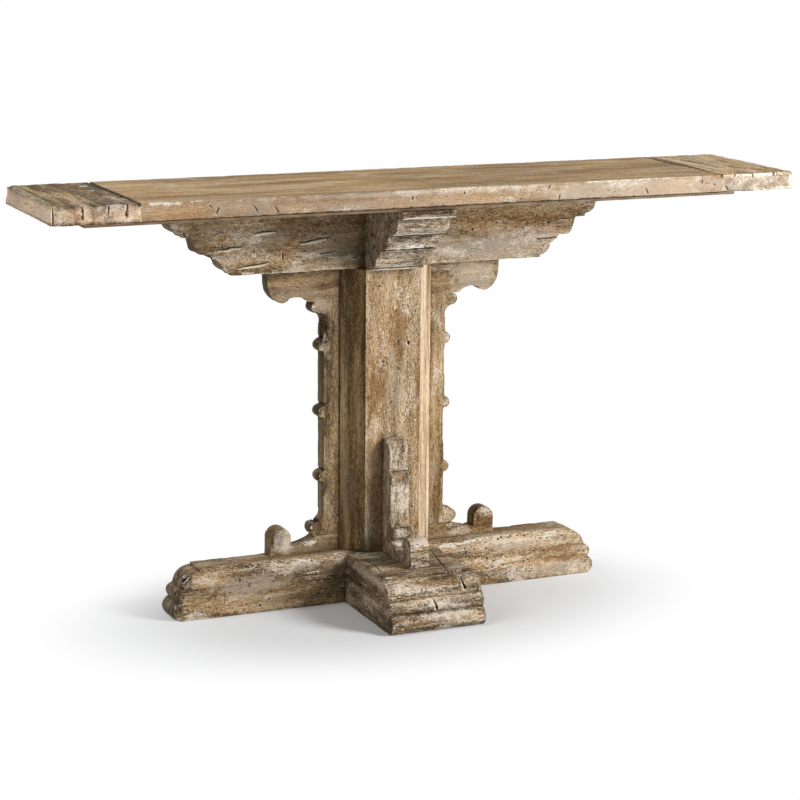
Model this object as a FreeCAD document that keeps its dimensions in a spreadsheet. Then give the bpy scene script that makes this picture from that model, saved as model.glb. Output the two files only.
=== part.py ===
import FreeCAD, Part
import Sketcher
import os
import re

# Pier table: a narrow table that stands against a wall on a half-octagon column.
# X runs along the table, +Y goes to the wall, Z is up, and the origin is on the floor
# below the middle of the top. All sizes are millimetres.

SIZES = {
    # whole table
    "table_length": 1600,
    "table_depth": 340,
    "table_height": 916,
    "fit_clearance": 0.2,
    "cut_overrun": 5,
    # top
    "top_thickness": 37,
    "breadboard_width": 174,
    "front_board_width": 118,
    "back_board_width": 110,
    "tongue_length": 45,
    "tongue_thickness": 12,
    "tongue_stop": 30,
    "spline_width": 24,
    "spline_thickness": 8,
    "spline_stop": 40,
    "peg_diameter": 9,
    "peg_length": 30,
    # sub-top
    "sub_top_thickness": 18,
    "sub_top_end_inset": 88,
    "sub_top_front_setback": 90,
    "sub_top_back_setback": 10,
    # corbels
    "corbel_drop": 144,
    "corbel_run": 132,
    "corbel_fascia_step": 28,
    "corbel_fascia_height": 16,
    "corbel_bottom_length": 702,
    "corbel_beam_thickness": 61,
    "front_corbel_width": 118,
    "front_corbel_setback": 79,
    "front_corbel_foot": 40,
    "corbel_tenon_width": 44,
    "corbel_tenon_height": 84,
    "corbel_tenon_length": 14,
    # column
    "column_flat_width": 125,
    "column_chamfer": 41,
    "column_depth": 79,
    "stave_thickness": 22,
    "back_panel_thickness": 18,
    "column_block_height": 60,
    # brackets
    "bracket_thickness": 35,
    "bracket_reach": 161,
    "ear_height": 69,
    "upright_width": 36.5,
    "edge_bead_radius": 13,
    "upper_bead_radius": 13,
    "upper_bead_offset": 51.5,
    "lower_bead_radius": 15,
    "lower_bead_offset": 53,
    "cove_height": 26,
    "bracket_foot_height": 34,
    "foot_rail_height": 18,
    "foot_cove_stop": 12,
    "boss_width": 48,
    "boss_height": 60,
    "side_boss_reach": 158,
    "front_bracket_thickness": 44,
    "front_upright_width": 42,
    "front_upper_width": 35,
    "front_bead_rise": 6,
    "front_bead_offset": 45,
    "front_bracket_height": 246,
    "front_head_radius": 26,
    "front_boss_reach": 150,
    # base
    "base_lower_height": 68,
    "base_upper_height": 40,
    "base_length": 983,
    "base_beam_thickness": 73,
    "base_end_run": 63,
    "base_chamfer": 10,
    "foot_width": 212,
    "foot_setback": 9,
    # fasteners
    "screw_diameter": 5,
    "screw_head_diameter": 10,
    "screw_head_height": 4,
    "sub_top_screw_length": 30,
    "corbel_screw_length": 60,
    "dowel_diameter": 10,
    "dowel_length": 36,
    "base_dowel_diameter": 16,
    "base_dowel_length": 80,
    "rod_diameter": 12,
    "rod_end_inset": 4,
    "rod_nut_width": 19,
    "rod_nut_height": 10,
    "rod_washer_diameter": 34,
    "rod_washer_thickness": 3,
    "rod_pocket_diameter": 40,
    "rod_pocket_depth": 22,
}

# Places and sizes that follow from the driving ones.
DERIVED = {
    "front": "-table_depth / 2",
    "back": "table_depth / 2",
    "top_underside": "table_height - top_thickness",
    "top_middle": "table_height - top_thickness / 2",
    "sub_top_underside": "top_underside - sub_top_thickness",
    "column_top": "sub_top_underside - corbel_drop",
    "base_top": "base_lower_height + base_upper_height",
    "field_half": "table_length / 2 - breadboard_width",
    "front_seam": "front + front_board_width",
    "back_seam": "back - back_board_width",
    "sub_top_half": "table_length / 2 - sub_top_end_inset",
    "sub_top_front": "front + sub_top_front_setback",
    "beam_front": "back - corbel_beam_thickness",
    "corbel_reach": "corbel_bottom_length / 2 + corbel_run",
    "front_ovolo": "front + front_corbel_setback + corbel_fascia_step",
    "front_corbel_run": "beam_front - front_ovolo - front_corbel_foot",
    "column_half": "column_flat_width / 2 + column_chamfer",
    "column_front": "back - column_depth",
    "mitre_step": "stave_thickness * (sqrt(2) - 1)",
    "flat_inner_half": "column_flat_width / 2 - mitre_step",
    "flat_inner": "column_front + stave_thickness",
    "side_inner_half": "column_half - stave_thickness",
    "side_outer": "column_front + column_chamfer",
    "side_inner": "side_outer + mitre_step",
    "panel_front": "back - back_panel_thickness",
    "ear_seam": "column_top - ear_height",
    "foot_seam": "base_top + bracket_foot_height",
    "front_bracket_top": "base_top + front_bracket_height",
    "bracket_middle": "back - bracket_thickness / 2",
    "base_front": "back - base_beam_thickness",
    "base_half": "base_length / 2",
    "foot_front": "front + foot_setback",
    "foot_half": "foot_width / 2",
    "chamfer_foot": "base_top - base_chamfer",
    "rod_place": "(flat_inner + panel_front) / 2",
}

# Corbel moulding: shares of the run inwards from the ovolo's face, and of the drop below the top.
# Fascia underside, ovolo, fillet, second ovolo, fillet, hollow, round and foot.
CORBEL_SHARES = (
    ("line", (0, 0.125)),
    ("line", (0, 0.2)),
    ("arc", (0.056, 0.323), (0.19, 0.375)),
    ("line", (0.2, 0.42)),
    ("line", (0.37, 0.42)),
    ("line", (0.42, 0.59)),
    ("arc", (0.45, 0.652), (0.52, 0.675)),
    ("line", (0.665, 0.675)),
    ("line", (0.69, 0.745)),
    ("arc", (0.785, 0.778), (0.835, 0.86)),
    ("arc", (0.9, 0.935), (1, 0.965)),
    ("line", (1, 1)),
)

# Base moulding: shares of the end's run inwards from the tip, and of each layer's height.
BASE_UPPER_SHARES = (
    ("line", (1, 0.875)),
    ("line", (0.965, 0.875)),
    ("arc", (0.552, 0.605), (0.38, 0)),
)
BASE_LOWER_SHARES = (
    ("arc", (0.135, 0.78), (0.24, 0.585)),
    ("arc", (0, 0.25), (0.19, 0)),
)

# Lower edge of a bracket's ear: shares of its reach, and of its height above the seam.
EAR_SHARES = (
    ("line", (1, 0.61)),
    ("arc", (0.942, 0.232), (0.803, 0)),
    ("arc", (0.739, 0.045), (0.694, 0.138)),
    ("arc", (0.564, 0.16), (0.424, 0)),
)

# Places along a piece, as shares of its length or height.
SIDE_BEAD_SHARES = (0.81, 0.53, 0.25)
FRONT_BEAD_SHARES = (0.62,)
COVE_U_SHARE = 0.25
COVE_Z_SHARE = 0.77
FOOT_COVE_U_SHARE = 0.46
FOOT_COVE_Z_SHARE = 0.38
ROUND_SHARE = 0.7071
SUB_TOP_SCREW_SHARES = (-0.9, -0.56, -0.22, 0.22, 0.56, 0.9)
BEAM_SCREW_SHARES = (-0.82, -0.52, -0.23, 0.23, 0.52, 0.82)
FRONT_CORBEL_SCREW_SHARES = (0.35, 0.75)
SIDE_DOWEL_SHARES = (0.15, 0.67)
FRONT_DOWEL_SHARES = (0.3, 0.75)
EAR_DOWEL_SHARE = 0.62
SEAM_DOWEL_SHARE = 0.6
BASE_DOWEL_SHARE = 0.55
LOWER_DOWEL_SHARES = (0.25, 0.75)

doc = FreeCAD.newDocument("pier_table")
sheet = doc.addObject("Spreadsheet::Sheet", "sizes")
for row, (alias, number) in enumerate(SIZES.items(), 1):
    sheet.set("A%d" % row, alias)
    sheet.set("B%d" % row, str(number))
    sheet.setAlias("B%d" % row, alias)
doc.recompute()

SAME_PLACE = 1e-6

ALONG_X = FreeCAD.Rotation(FreeCAD.Vector(0, 1, 0), 90)
ALONG_Y = FreeCAD.Rotation(FreeCAD.Vector(1, 0, 0), -90)
ALONG_Z = FreeCAD.Rotation()


def expand(text):
    """Turn a formula in plain size names into one that reads the sheet."""
    def word(match):
        name = match.group(0)
        if name in DERIVED:
            return "(" + expand(DERIVED[name]) + ")"
        return "sizes." + name if name in SIZES else name
    return re.sub(r"[a-z_]+", word, str(text))


def value(text):
    """Number that a formula gives now."""
    return float(sheet.evalExpression(expand(text)))


def bind(thing, **formulas):
    """Bind an object's properties to formulas."""
    for name, formula in formulas.items():
        thing.setExpression(name, expand(formula))


def place(thing, corner, rotation=ALONG_Z):
    """Turn an object and bind its origin to three formulas."""
    thing.Placement = FreeCAD.Placement(FreeCAD.Vector(*[value(axis) for axis in corner]), rotation)
    for axis, formula in zip("xyz", corner):
        thing.setExpression("Placement.Base." + axis, expand(formula))


def box(name, low, high):
    """Box between two corners given as formulas."""
    thing = doc.addObject("Part::Box", name)
    spans = ["(%s) - (%s)" % (top, bottom) for bottom, top in zip(low, high)]
    bind(thing, Length=spans[0], Width=spans[1], Height=spans[2])
    place(thing, low)
    return thing


def cylinder(name, radius, length, corner, rotation=ALONG_Z):
    """Round bar from a point along its axis."""
    thing = doc.addObject("Part::Cylinder", name)
    bind(thing, Radius=radius, Height=length)
    place(thing, corner, rotation)
    return thing


def screw(name, corner, length, play, upwards):
    """Countersunk screw, or with some play its hole, from the face its head is let into."""
    rotation = ALONG_Z if upwards else FreeCAD.Rotation(FreeCAD.Vector(1, 0, 0), 180)
    head = doc.addObject("Part::Cone", name + "_head")
    bind(head, Radius1="screw_head_diameter / 2 + " + play, Radius2="screw_diameter / 2 + " + play)
    bind(head, Height="screw_head_height")
    place(head, corner, rotation)
    shank = cylinder(name + "_shank", "screw_diameter / 2 + " + play, length, corner, rotation)
    return fuse(name, [head, shank])


def group(label, things):
    """Several separate solids kept together."""
    thing = doc.addObject("Part::Compound", label)
    thing.Links = things
    return thing


def fuse(label, things):
    """One solid from several."""
    thing = doc.addObject("Part::MultiFuse", label)
    thing.Shapes = things
    thing.Refine = True
    return thing


def cut(label, base, tools):
    """A solid less some others."""
    thing = doc.addObject("Part::Cut", label)
    thing.Base = base
    thing.Tool = tools[0] if len(tools) == 1 else group(label + "_tools", tools)
    return thing


def mirror(label, source):
    """The same piece on the other side of the table's middle."""
    thing = doc.addObject("Part::Mirroring", label)
    thing.Source = source
    thing.Normal = FreeCAD.Vector(1, 0, 0)
    return thing


def hold(sketch, geometry, end, point):
    """Constraints that hold a point of a sketch at two bound distances from the axes."""
    for kind, axis, formula in (("DistanceX", -2, point[0]), ("DistanceY", -1, point[1])):
        distance = value(formula)
        if abs(distance) < SAME_PLACE:
            sketch.addConstraint(Sketcher.Constraint("PointOnObject", geometry, end, axis))
            continue
        ends = (-1, 1, geometry, end) if distance > 0 else (geometry, end, -1, 1)
        index = sketch.addConstraint(Sketcher.Constraint(kind, *ends, abs(distance)))
        signed = formula if distance > 0 else "-(%s)" % formula
        sketch.setExpression("Constraints[%d]" % index, expand(signed))


def vector(point):
    """Place of a point of an outline in its sketch."""
    return FreeCAD.Vector(value(point[0]), value(point[1]), 0)


def draw(sketch, start, moves):
    """Closed outline of lines and arcs: each move ends at its last point, an arc passes its first."""
    here = start
    last = None
    first = None
    for move in list(moves) + [("line", start)]:
        there = move[-1]
        if move[0] == "line":
            index = sketch.addGeometry(Part.LineSegment(vector(here), vector(there)))
        else:
            index = sketch.addGeometry(Part.Arc(vector(here), vector(move[1]), vector(there)))
        forward = sketch.getPoint(index, 1).isEqual(vector(here), SAME_PLACE)
        begin, end = (1, 2) if forward else (2, 1)
        if last is None:
            first = (index, begin)
        else:
            sketch.addConstraint(Sketcher.Constraint("Coincident", *last, index, begin))
        hold(sketch, index, begin, here)
        if move[0] == "arc":
            middle = sketch.addGeometry(Part.Point(vector(move[1])), True)
            hold(sketch, middle, 1, move[1])
            sketch.addConstraint(Sketcher.Constraint("PointOnObject", middle, 1, index))
        last = (index, end)
        here = there
    sketch.addConstraint(Sketcher.Constraint("Coincident", *last, *first))


def pad(label, plane, start, moves, length, corner):
    """Body with one outline, drawn on an origin plane and padded along that plane's normal."""
    body = doc.addObject("PartDesign::Body", label)
    sketch = body.newObject("Sketcher::SketchObject", label + "_outline")
    support = [item for item in body.Origin.OriginFeatures if item.Role == plane][0]
    sketch.AttachmentSupport = [(support, "")]
    sketch.MapMode = "FlatFace"
    doc.recompute()
    draw(sketch, start, moves)
    feature = body.newObject("PartDesign::Pad", label + "_pad")
    feature.Profile = sketch
    bind(feature, Length=length)
    place(body, corner)
    return body


def lines(points):
    """Moves of a straight-sided outline."""
    return [("line", point) for point in points]


def shaped(shares, across, up):
    """Moves of an outline from a table of shares, with a formula for each direction."""
    moves = []
    for move in shares:
        points = [(across % point[0], up % point[1]) for point in move[1:]]
        moves.append((move[0],) + tuple(points))
    return moves


def name_parts(parts):
    """Give each finished piece its label."""
    for label, thing in parts.items():
        thing.Label = label
    return parts


def dowels(name, radius, length):
    """All dowels of the brackets at one radius and length, each centred on its joint."""
    bars = []

    def bar(corner, rotation):
        bars.append(cylinder("%s_%d" % (name, len(bars)), radius, length, corner, rotation))

    half = "(%s) / 2" % length
    upright = "(ear_seam - foot_seam)"
    for side in (-1, 1):
        joint = "%d * column_half" % side
        for share in SIDE_DOWEL_SHARES:
            height = "foot_seam + %s * %s" % (share, upright)
            bar(("%s - %s" % (joint, half), "bracket_middle", height), ALONG_X)
        ear = "%d * (column_half + %s * bracket_reach)" % (side, EAR_DOWEL_SHARE)
        seam = "%d * (column_half + %s * upright_width)" % (side, SEAM_DOWEL_SHARE)
        boss = "%d * (column_half + side_boss_reach - boss_width / 2)" % side
        joints = ((ear, "column_top"), (seam, "ear_seam"), (seam, "foot_seam"), (boss, "base_top"))
        for across, level in joints:
            bar((across, "bracket_middle", "%s - %s" % (level, half)), ALONG_Z)
    for share in FRONT_DOWEL_SHARES:
        height = "foot_seam + %s * (front_bracket_top - foot_seam)" % share
        bar((0, "column_front - %s" % half, height), ALONG_Y)
    seam = "column_front - %s * front_upright_width" % SEAM_DOWEL_SHARE
    boss = "column_front - front_boss_reach + boss_width / 2"
    bar((0, seam, "foot_seam - %s" % half), ALONG_Z)
    bar((0, boss, "base_top - %s" % half), ALONG_Z)
    return bars


def base_dowels(name, radius, length):
    """Dowels between the front foot and the base beam, centred on their joints."""
    bars = []
    half = "(%s) / 2" % length
    for side in (-1, 1):
        across = "%d * %s * foot_half" % (side, BASE_DOWEL_SHARE)
        corner = (across, "base_front - %s" % half, "base_lower_height + base_upper_height / 2")
        bars.append(cylinder("%s_%d" % (name, len(bars)), radius, length, corner, ALONG_Y))
        for share in LOWER_DOWEL_SHARES:
            deep = "base_front + %s * base_beam_thickness" % share
            corner = ("%d * foot_half - %s" % (side, half), deep, "base_lower_height / 2")
            bars.append(cylinder("%s_%d" % (name, len(bars)), radius, length, corner, ALONG_X))
    return bars


def pegs(name, radius, length):
    """Pegs up through the tongues of the three boards at both ends of the top."""
    bars = []
    rows = (
        "(front + tongue_stop + front_seam) / 2",
        "(front_seam + back_seam) / 2",
        "(back_seam + back - tongue_stop) / 2",
    )
    for side in (-1, 1):
        for deep in rows:
            corner = ("%d * (field_half + tongue_length / 2)" % side, deep, "top_underside")
            bars.append(cylinder("%s_%d" % (name, len(bars)), radius, length, corner))
    return bars


def sub_top_screws(name, play):
    """Screws from under the sub-top into each board of the top."""
    rows = (
        "(sub_top_front + front_seam) / 2",
        "(front_seam + back_seam) / 2",
        "(back_seam + beam_front) / 2",
    )
    screws = []
    for share in SUB_TOP_SCREW_SHARES:
        for deep in rows:
            corner = ("%s * field_half" % share, deep, "sub_top_underside")
            label = "%s_%d" % (name, len(screws))
            screws.append(screw(label, corner, "sub_top_screw_length", play, True))
    return screws


def corbel_screws(name, play):
    """Screws from the sub-top's upper face down into the corbel beam and the front corbel."""
    beam = "(beam_front + back - sub_top_back_setback) / 2"
    corners = [("%s * corbel_reach" % share, beam) for share in BEAM_SCREW_SHARES]
    for share in FRONT_CORBEL_SCREW_SHARES:
        corners.append((0, "sub_top_front + %s * (beam_front - sub_top_front)" % share))
    screws = []
    for across, deep in corners:
        corner = (across, deep, "top_underside")
        label = "%s_%d" % (name, len(screws))
        screws.append(screw(label, corner, "corbel_screw_length", play, False))
    return screws


DOWEL_HOLES = group(
    "dowel_holes",
    dowels("dowel_hole", "dowel_diameter / 2 + fit_clearance", "dowel_length + 2 * fit_clearance"),
)
BASE_HOLES = group(
    "base_holes",
    base_dowels("base_hole", "base_dowel_diameter / 2 + fit_clearance",
                "base_dowel_length + 2 * fit_clearance"),
)
PEG_HOLES = group(
    "peg_holes",
    pegs("peg_hole", "peg_diameter / 2 + fit_clearance", "peg_length + fit_clearance"),
)
SUB_TOP_HOLES = group("sub_top_holes", sub_top_screws("sub_top_hole", "fit_clearance"))
CORBEL_HOLES = group("corbel_holes", corbel_screws("corbel_hole", "fit_clearance"))
ROD_HOLE = cylinder("rod_hole", "rod_diameter / 2 + fit_clearance", "table_height",
                    (0, "rod_place", "-cut_overrun"))
ROD_POCKETS = group("rod_pockets", [
    cylinder("lower_pocket", "rod_pocket_diameter / 2", "rod_pocket_depth + cut_overrun",
             (0, "rod_place", "-cut_overrun")),
    cylinder("upper_pocket", "rod_pocket_diameter / 2", "rod_pocket_depth + cut_overrun",
             (0, "rod_place", "sub_top_underside - rod_pocket_depth")),
])


def make_top():
    """Three boards with tongues, splines between them, breadboard ends and their pegs."""
    tongue_low = "top_middle - tongue_thickness / 2"
    tongue_high = "top_middle + tongue_thickness / 2"
    slots = []
    splines = []
    for name, seam in (("front_spline", "front_seam"), ("back_spline", "back_seam")):
        reach = "field_half - spline_stop"
        low = ("-(%s)" % reach, "%s - spline_width / 2" % seam, "top_middle - spline_thickness / 2")
        high = (reach, "%s + spline_width / 2" % seam, "top_middle + spline_thickness / 2")
        splines.append(box(name, low, high))
        grow = [formula + " - fit_clearance" for formula in low]
        slots.append(box(name + "_slot", grow, [formula + " + fit_clearance" for formula in high]))
    boards = {
        "top_board_front": ("front", "front_seam", "front + tongue_stop", "front_seam"),
        "top_board_middle": ("front_seam", "back_seam", "front_seam", "back_seam"),
        "top_board_back": ("back_seam", "back", "back_seam", "back - tongue_stop"),
    }
    parts = {}
    for label, (near, far, tongue_near, tongue_far) in boards.items():
        low = ("-field_half", near, "top_underside")
        field = box(label + "_field", low, ("field_half", far, "table_height"))
        reach = "field_half + tongue_length"
        low = ("-(%s)" % reach, tongue_near, tongue_low)
        tongue = box(label + "_tongue", low, (reach, tongue_far, tongue_high))
        solid = fuse(label + "_solid", [field, tongue])
        parts[label] = cut(label, solid, slots + [PEG_HOLES, SUB_TOP_HOLES])
    blank = box("breadboard_blank", ("field_half", "front", "top_underside"),
                ("table_length / 2", "back", "table_height"))
    groove = box(
        "breadboard_groove",
        ("field_half - cut_overrun", "front + tongue_stop - fit_clearance", tongue_low + " - fit_clearance"),
        ("field_half + tongue_length + fit_clearance", "back - tongue_stop + fit_clearance",
         tongue_high + " + fit_clearance"),
    )
    right = cut("breadboard_end_right", blank, [groove, PEG_HOLES, SUB_TOP_HOLES])
    parts["breadboard_end_right"] = right
    parts["breadboard_end_left"] = mirror("breadboard_end_left", right)
    parts["top_splines"] = group("top_splines", splines)
    parts["breadboard_pegs"] = group("breadboard_pegs", pegs("peg", "peg_diameter / 2", "peg_length"))
    return parts


def make_sub_top():
    """Board under the top, with the screws that hold the top and the corbels to it."""
    low = ("-sub_top_half", "sub_top_front", "sub_top_underside")
    high = ("sub_top_half", "back - sub_top_back_setback", "top_underside")
    return {
        "sub_top": cut("sub_top", box("sub_top_board", low, high), [SUB_TOP_HOLES, CORBEL_HOLES]),
        "sub_top_screws": group("sub_top_screws", sub_top_screws("sub_top_screw", "0")),
        "corbel_screws": group("corbel_screws", corbel_screws("corbel_screw", "0")),
    }


def make_corbels():
    """Corbel beam along the wall and the front corbel that is tenoned into it."""
    tenon_half = "corbel_tenon_width / 2"
    tenon_low = "column_top + (corbel_drop - corbel_tenon_height) / 2"
    tenon_high = "column_top + (corbel_drop + corbel_tenon_height) / 2"
    tenon = box(
        "corbel_tenon",
        ("-" + tenon_half, "beam_front - cut_overrun", tenon_low),
        (tenon_half, "beam_front + corbel_tenon_length", tenon_high),
    )
    mortise = box(
        "corbel_mortise",
        ("-%s - fit_clearance" % tenon_half, "beam_front - cut_overrun", tenon_low + " - fit_clearance"),
        (tenon_half + " + fit_clearance", "beam_front + corbel_tenon_length + fit_clearance",
         tenon_high + " + fit_clearance"),
    )
    fall = "sub_top_underside - %s * corbel_drop"
    tip = "corbel_reach + corbel_fascia_step"
    moves = lines([(tip, "sub_top_underside"), (tip, "sub_top_underside - corbel_fascia_height")])
    moves += shaped(CORBEL_SHARES, "corbel_reach - %s * corbel_run", fall)
    moves += lines([(0, "column_top")])
    half = pad("corbel_beam_half", "XZ_Plane", (0, "sub_top_underside"), moves,
               "corbel_beam_thickness", (0, "back", 0))
    whole = fuse("corbel_beam_solid", [half, mirror("corbel_beam_other_half", half)])
    tip = "front_ovolo - corbel_fascia_step"
    moves = lines([(tip, "sub_top_underside"), (tip, "sub_top_underside - corbel_fascia_height")])
    moves += shaped(CORBEL_SHARES, "front_ovolo + %s * front_corbel_run", fall)
    moves += lines([("beam_front", "column_top")])
    arm = pad("front_corbel_arm", "YZ_Plane", ("beam_front", "sub_top_underside"), moves,
              "front_corbel_width", ("-front_corbel_width / 2", 0, 0))
    return {
        "corbel_beam": cut("corbel_beam", whole,
                           [mortise, CORBEL_HOLES, DOWEL_HOLES, ROD_HOLE, ROD_POCKETS]),
        "front_corbel": cut("front_corbel", fuse("front_corbel_solid", [arm, tenon]),
                            [CORBEL_HOLES, ROD_HOLE]),
    }


def make_column():
    """Mitred staves and a back panel round two glue blocks."""
    tall = "column_top - base_top"
    foot = (0, 0, "base_top")

    def stave(label, points, length=tall, corner=foot):
        return pad(label, "XY_Plane", points[0], lines(points[1:]), length, corner)

    flat = "column_flat_width / 2"
    front = stave("column_front_blank", [
        ("-" + flat, "column_front"),
        (flat, "column_front"),
        ("flat_inner_half", "flat_inner"),
        ("-flat_inner_half", "flat_inner"),
    ])
    chamfer = stave("column_chamfer_stave_right", [
        (flat, "column_front"),
        ("column_half", "side_outer"),
        ("side_inner_half", "side_inner"),
        ("flat_inner_half", "flat_inner"),
    ])
    side = stave("column_side_blank", [
        ("column_half", "side_outer"),
        ("column_half", "back"),
        ("side_inner_half", "back"),
        ("side_inner_half", "side_inner"),
    ])
    side_right = cut("column_side_stave_right", side, [DOWEL_HOLES])
    hollow = [
        ("-flat_inner_half", "flat_inner"),
        ("flat_inner_half", "flat_inner"),
        ("side_inner_half", "side_inner"),
        ("side_inner_half", "panel_front"),
        ("-side_inner_half", "panel_front"),
        ("-side_inner_half", "side_inner"),
    ]
    low = stave("column_low_blank", hollow, "column_block_height")
    head = (0, 0, "column_top - column_block_height")
    high = stave("column_high_blank", hollow, "column_block_height", head)
    panel_low = ("-side_inner_half", "panel_front", "base_top")
    panel_high = ("side_inner_half", "back", "column_top")
    return {
        "column_front_stave": cut("column_front_stave", front, [DOWEL_HOLES]),
        "column_chamfer_stave_right": chamfer,
        "column_chamfer_stave_left": mirror("column_chamfer_stave_left", chamfer),
        "column_side_stave_right": side_right,
        "column_side_stave_left": mirror("column_side_stave_left", side_right),
        "column_back_panel": box("column_back_panel", panel_low, panel_high),
        "column_bottom_block": cut("column_bottom_block", low, [ROD_HOLE]),
        "column_top_block": cut("column_top_block", high, [ROD_HOLE]),
    }


def upright_moves(across, widths, beads, low, high, rise, offset):
    """Beaded outer edge of an upright from its highest cove or head down to the foot's seam."""
    upper, width = widths
    moves = []
    for share in beads:
        centre = "%s + %s * (%s - %s)" % (low, share, high, low)
        moves += [
            ("line", (across % upper, centre + " + edge_bead_radius")),
            ("arc", (across % ("(%s + %s)" % (width, rise)), centre),
             (across % width, centre + " - edge_bead_radius")),
        ]
    bead_top = low + " + 2 * lower_bead_radius"
    swell = "(%s - %s)" % (offset, width)
    moves += [
        ("line", (across % width, bead_top + " + cove_height")),
        ("arc",
         (across % ("(%s + %s * %s)" % (width, COVE_U_SHARE, swell)),
          "%s + (1 - %s) * cove_height" % (bead_top, COVE_Z_SHARE)),
         (across % offset, bead_top)),
        ("arc", (across % ("(%s + lower_bead_radius)" % offset), low + " + lower_bead_radius"),
         (across % offset, low)),
        ("line", (across % "0", low)),
    ]
    return moves


def foot_moves(across, reach, offset):
    """Upper edge of a foot rail: cove, rail and round boss, then down to the base."""
    inner = "(%s - boss_width)" % reach
    stop = "(%s - foot_cove_stop)" % inner
    rail = "base_top + foot_rail_height"
    spring = "base_top + boss_height - boss_width / 2"
    cove_u = "%s + %s * (%s - %s)" % (offset, FOOT_COVE_U_SHARE, stop, offset)
    cove_z = "%s + %s * (bracket_foot_height - foot_rail_height)" % (rail, FOOT_COVE_Z_SHARE)
    return [
        ("line", (across % offset, "foot_seam")),
        ("arc", (across % ("(%s)" % cove_u), cove_z), (across % stop, rail)),
        ("line", (across % inner, rail)),
        ("line", (across % inner, spring)),
        ("arc", (across % ("(%s + boss_width / 2)" % inner), "base_top + boss_height"),
         (across % reach, spring)),
        ("line", (across % reach, "base_top")),
        ("line", (across % "0", "base_top")),
    ]


def make_side_brackets():
    """Ear, upright and foot of the right bracket, and their mirror images."""
    across = "column_half + %s"
    corner = (0, "back", 0)
    inner = "column_half"
    moves = lines([(across % "bracket_reach", "column_top")])
    moves += shaped(EAR_SHARES, "column_half + %s * bracket_reach", "ear_seam + %s * ear_height")
    moves += lines([(inner, "ear_seam")])
    ear = pad("right_ear_blank", "XZ_Plane", (inner, "column_top"), moves, "bracket_thickness", corner)
    bead_low = "ear_seam - 2 * upper_bead_radius"
    swell = "(upper_bead_offset - upright_width)"
    moves = [
        ("line", (across % "upper_bead_offset", "ear_seam")),
        ("arc", (across % "upper_bead_offset + upper_bead_radius", "ear_seam - upper_bead_radius"),
         (across % "upper_bead_offset", bead_low)),
        ("arc",
         (across % ("upright_width + %s * %s" % (COVE_U_SHARE, swell)),
          "%s - (1 - %s) * cove_height" % (bead_low, COVE_Z_SHARE)),
         (across % "upright_width", bead_low + " - cove_height")),
    ]
    moves += upright_moves(across, ("upright_width", "upright_width"), SIDE_BEAD_SHARES, "foot_seam",
                           "ear_seam", "edge_bead_radius", "lower_bead_offset")
    upright = pad("right_upright_blank", "XZ_Plane", (inner, "ear_seam"), moves, "bracket_thickness", corner)
    moves = foot_moves(across, "side_boss_reach", "lower_bead_offset")
    foot = pad("right_foot_blank", "XZ_Plane", (inner, "foot_seam"), moves, "bracket_thickness", corner)
    parts = {}
    for piece, blank in (("ear", ear), ("upright", upright), ("foot", foot)):
        right = cut("right_bracket_" + piece, blank, [DOWEL_HOLES])
        parts["right_bracket_" + piece] = right
        parts["left_bracket_" + piece] = mirror("left_bracket_" + piece, right)
    return parts


def make_front_bracket():
    """Short upright with a rounded head, and its foot rail, in front of the column."""
    across = "column_front - %s"
    corner = ("-front_bracket_thickness / 2", 0, 0)
    head = "(front_upper_width - front_head_radius)"
    turn = "(%s + %s * front_head_radius)" % (head, ROUND_SHARE)
    shoulder = "front_bracket_top - front_head_radius"
    moves = [
        ("line", (across % head, "front_bracket_top")),
        ("arc", (across % turn, "%s + %s * front_head_radius" % (shoulder, ROUND_SHARE)),
         (across % "front_upper_width", shoulder)),
    ]
    moves += upright_moves(across, ("front_upper_width", "front_upright_width"), FRONT_BEAD_SHARES,
                           "foot_seam", "front_bracket_top", "front_bead_rise", "front_bead_offset")
    upright = pad("front_upright_blank", "YZ_Plane", ("column_front", "front_bracket_top"), moves,
                  "front_bracket_thickness", corner)
    foot = pad("front_bracket_foot_blank", "YZ_Plane", ("column_front", "foot_seam"),
               foot_moves(across, "front_boss_reach", "front_bead_offset"), "front_bracket_thickness",
               corner)
    return {
        "front_bracket_upright": cut("front_bracket_upright", upright, [DOWEL_HOLES]),
        "front_bracket_foot": cut("front_bracket_foot", foot, [DOWEL_HOLES]),
    }


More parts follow.
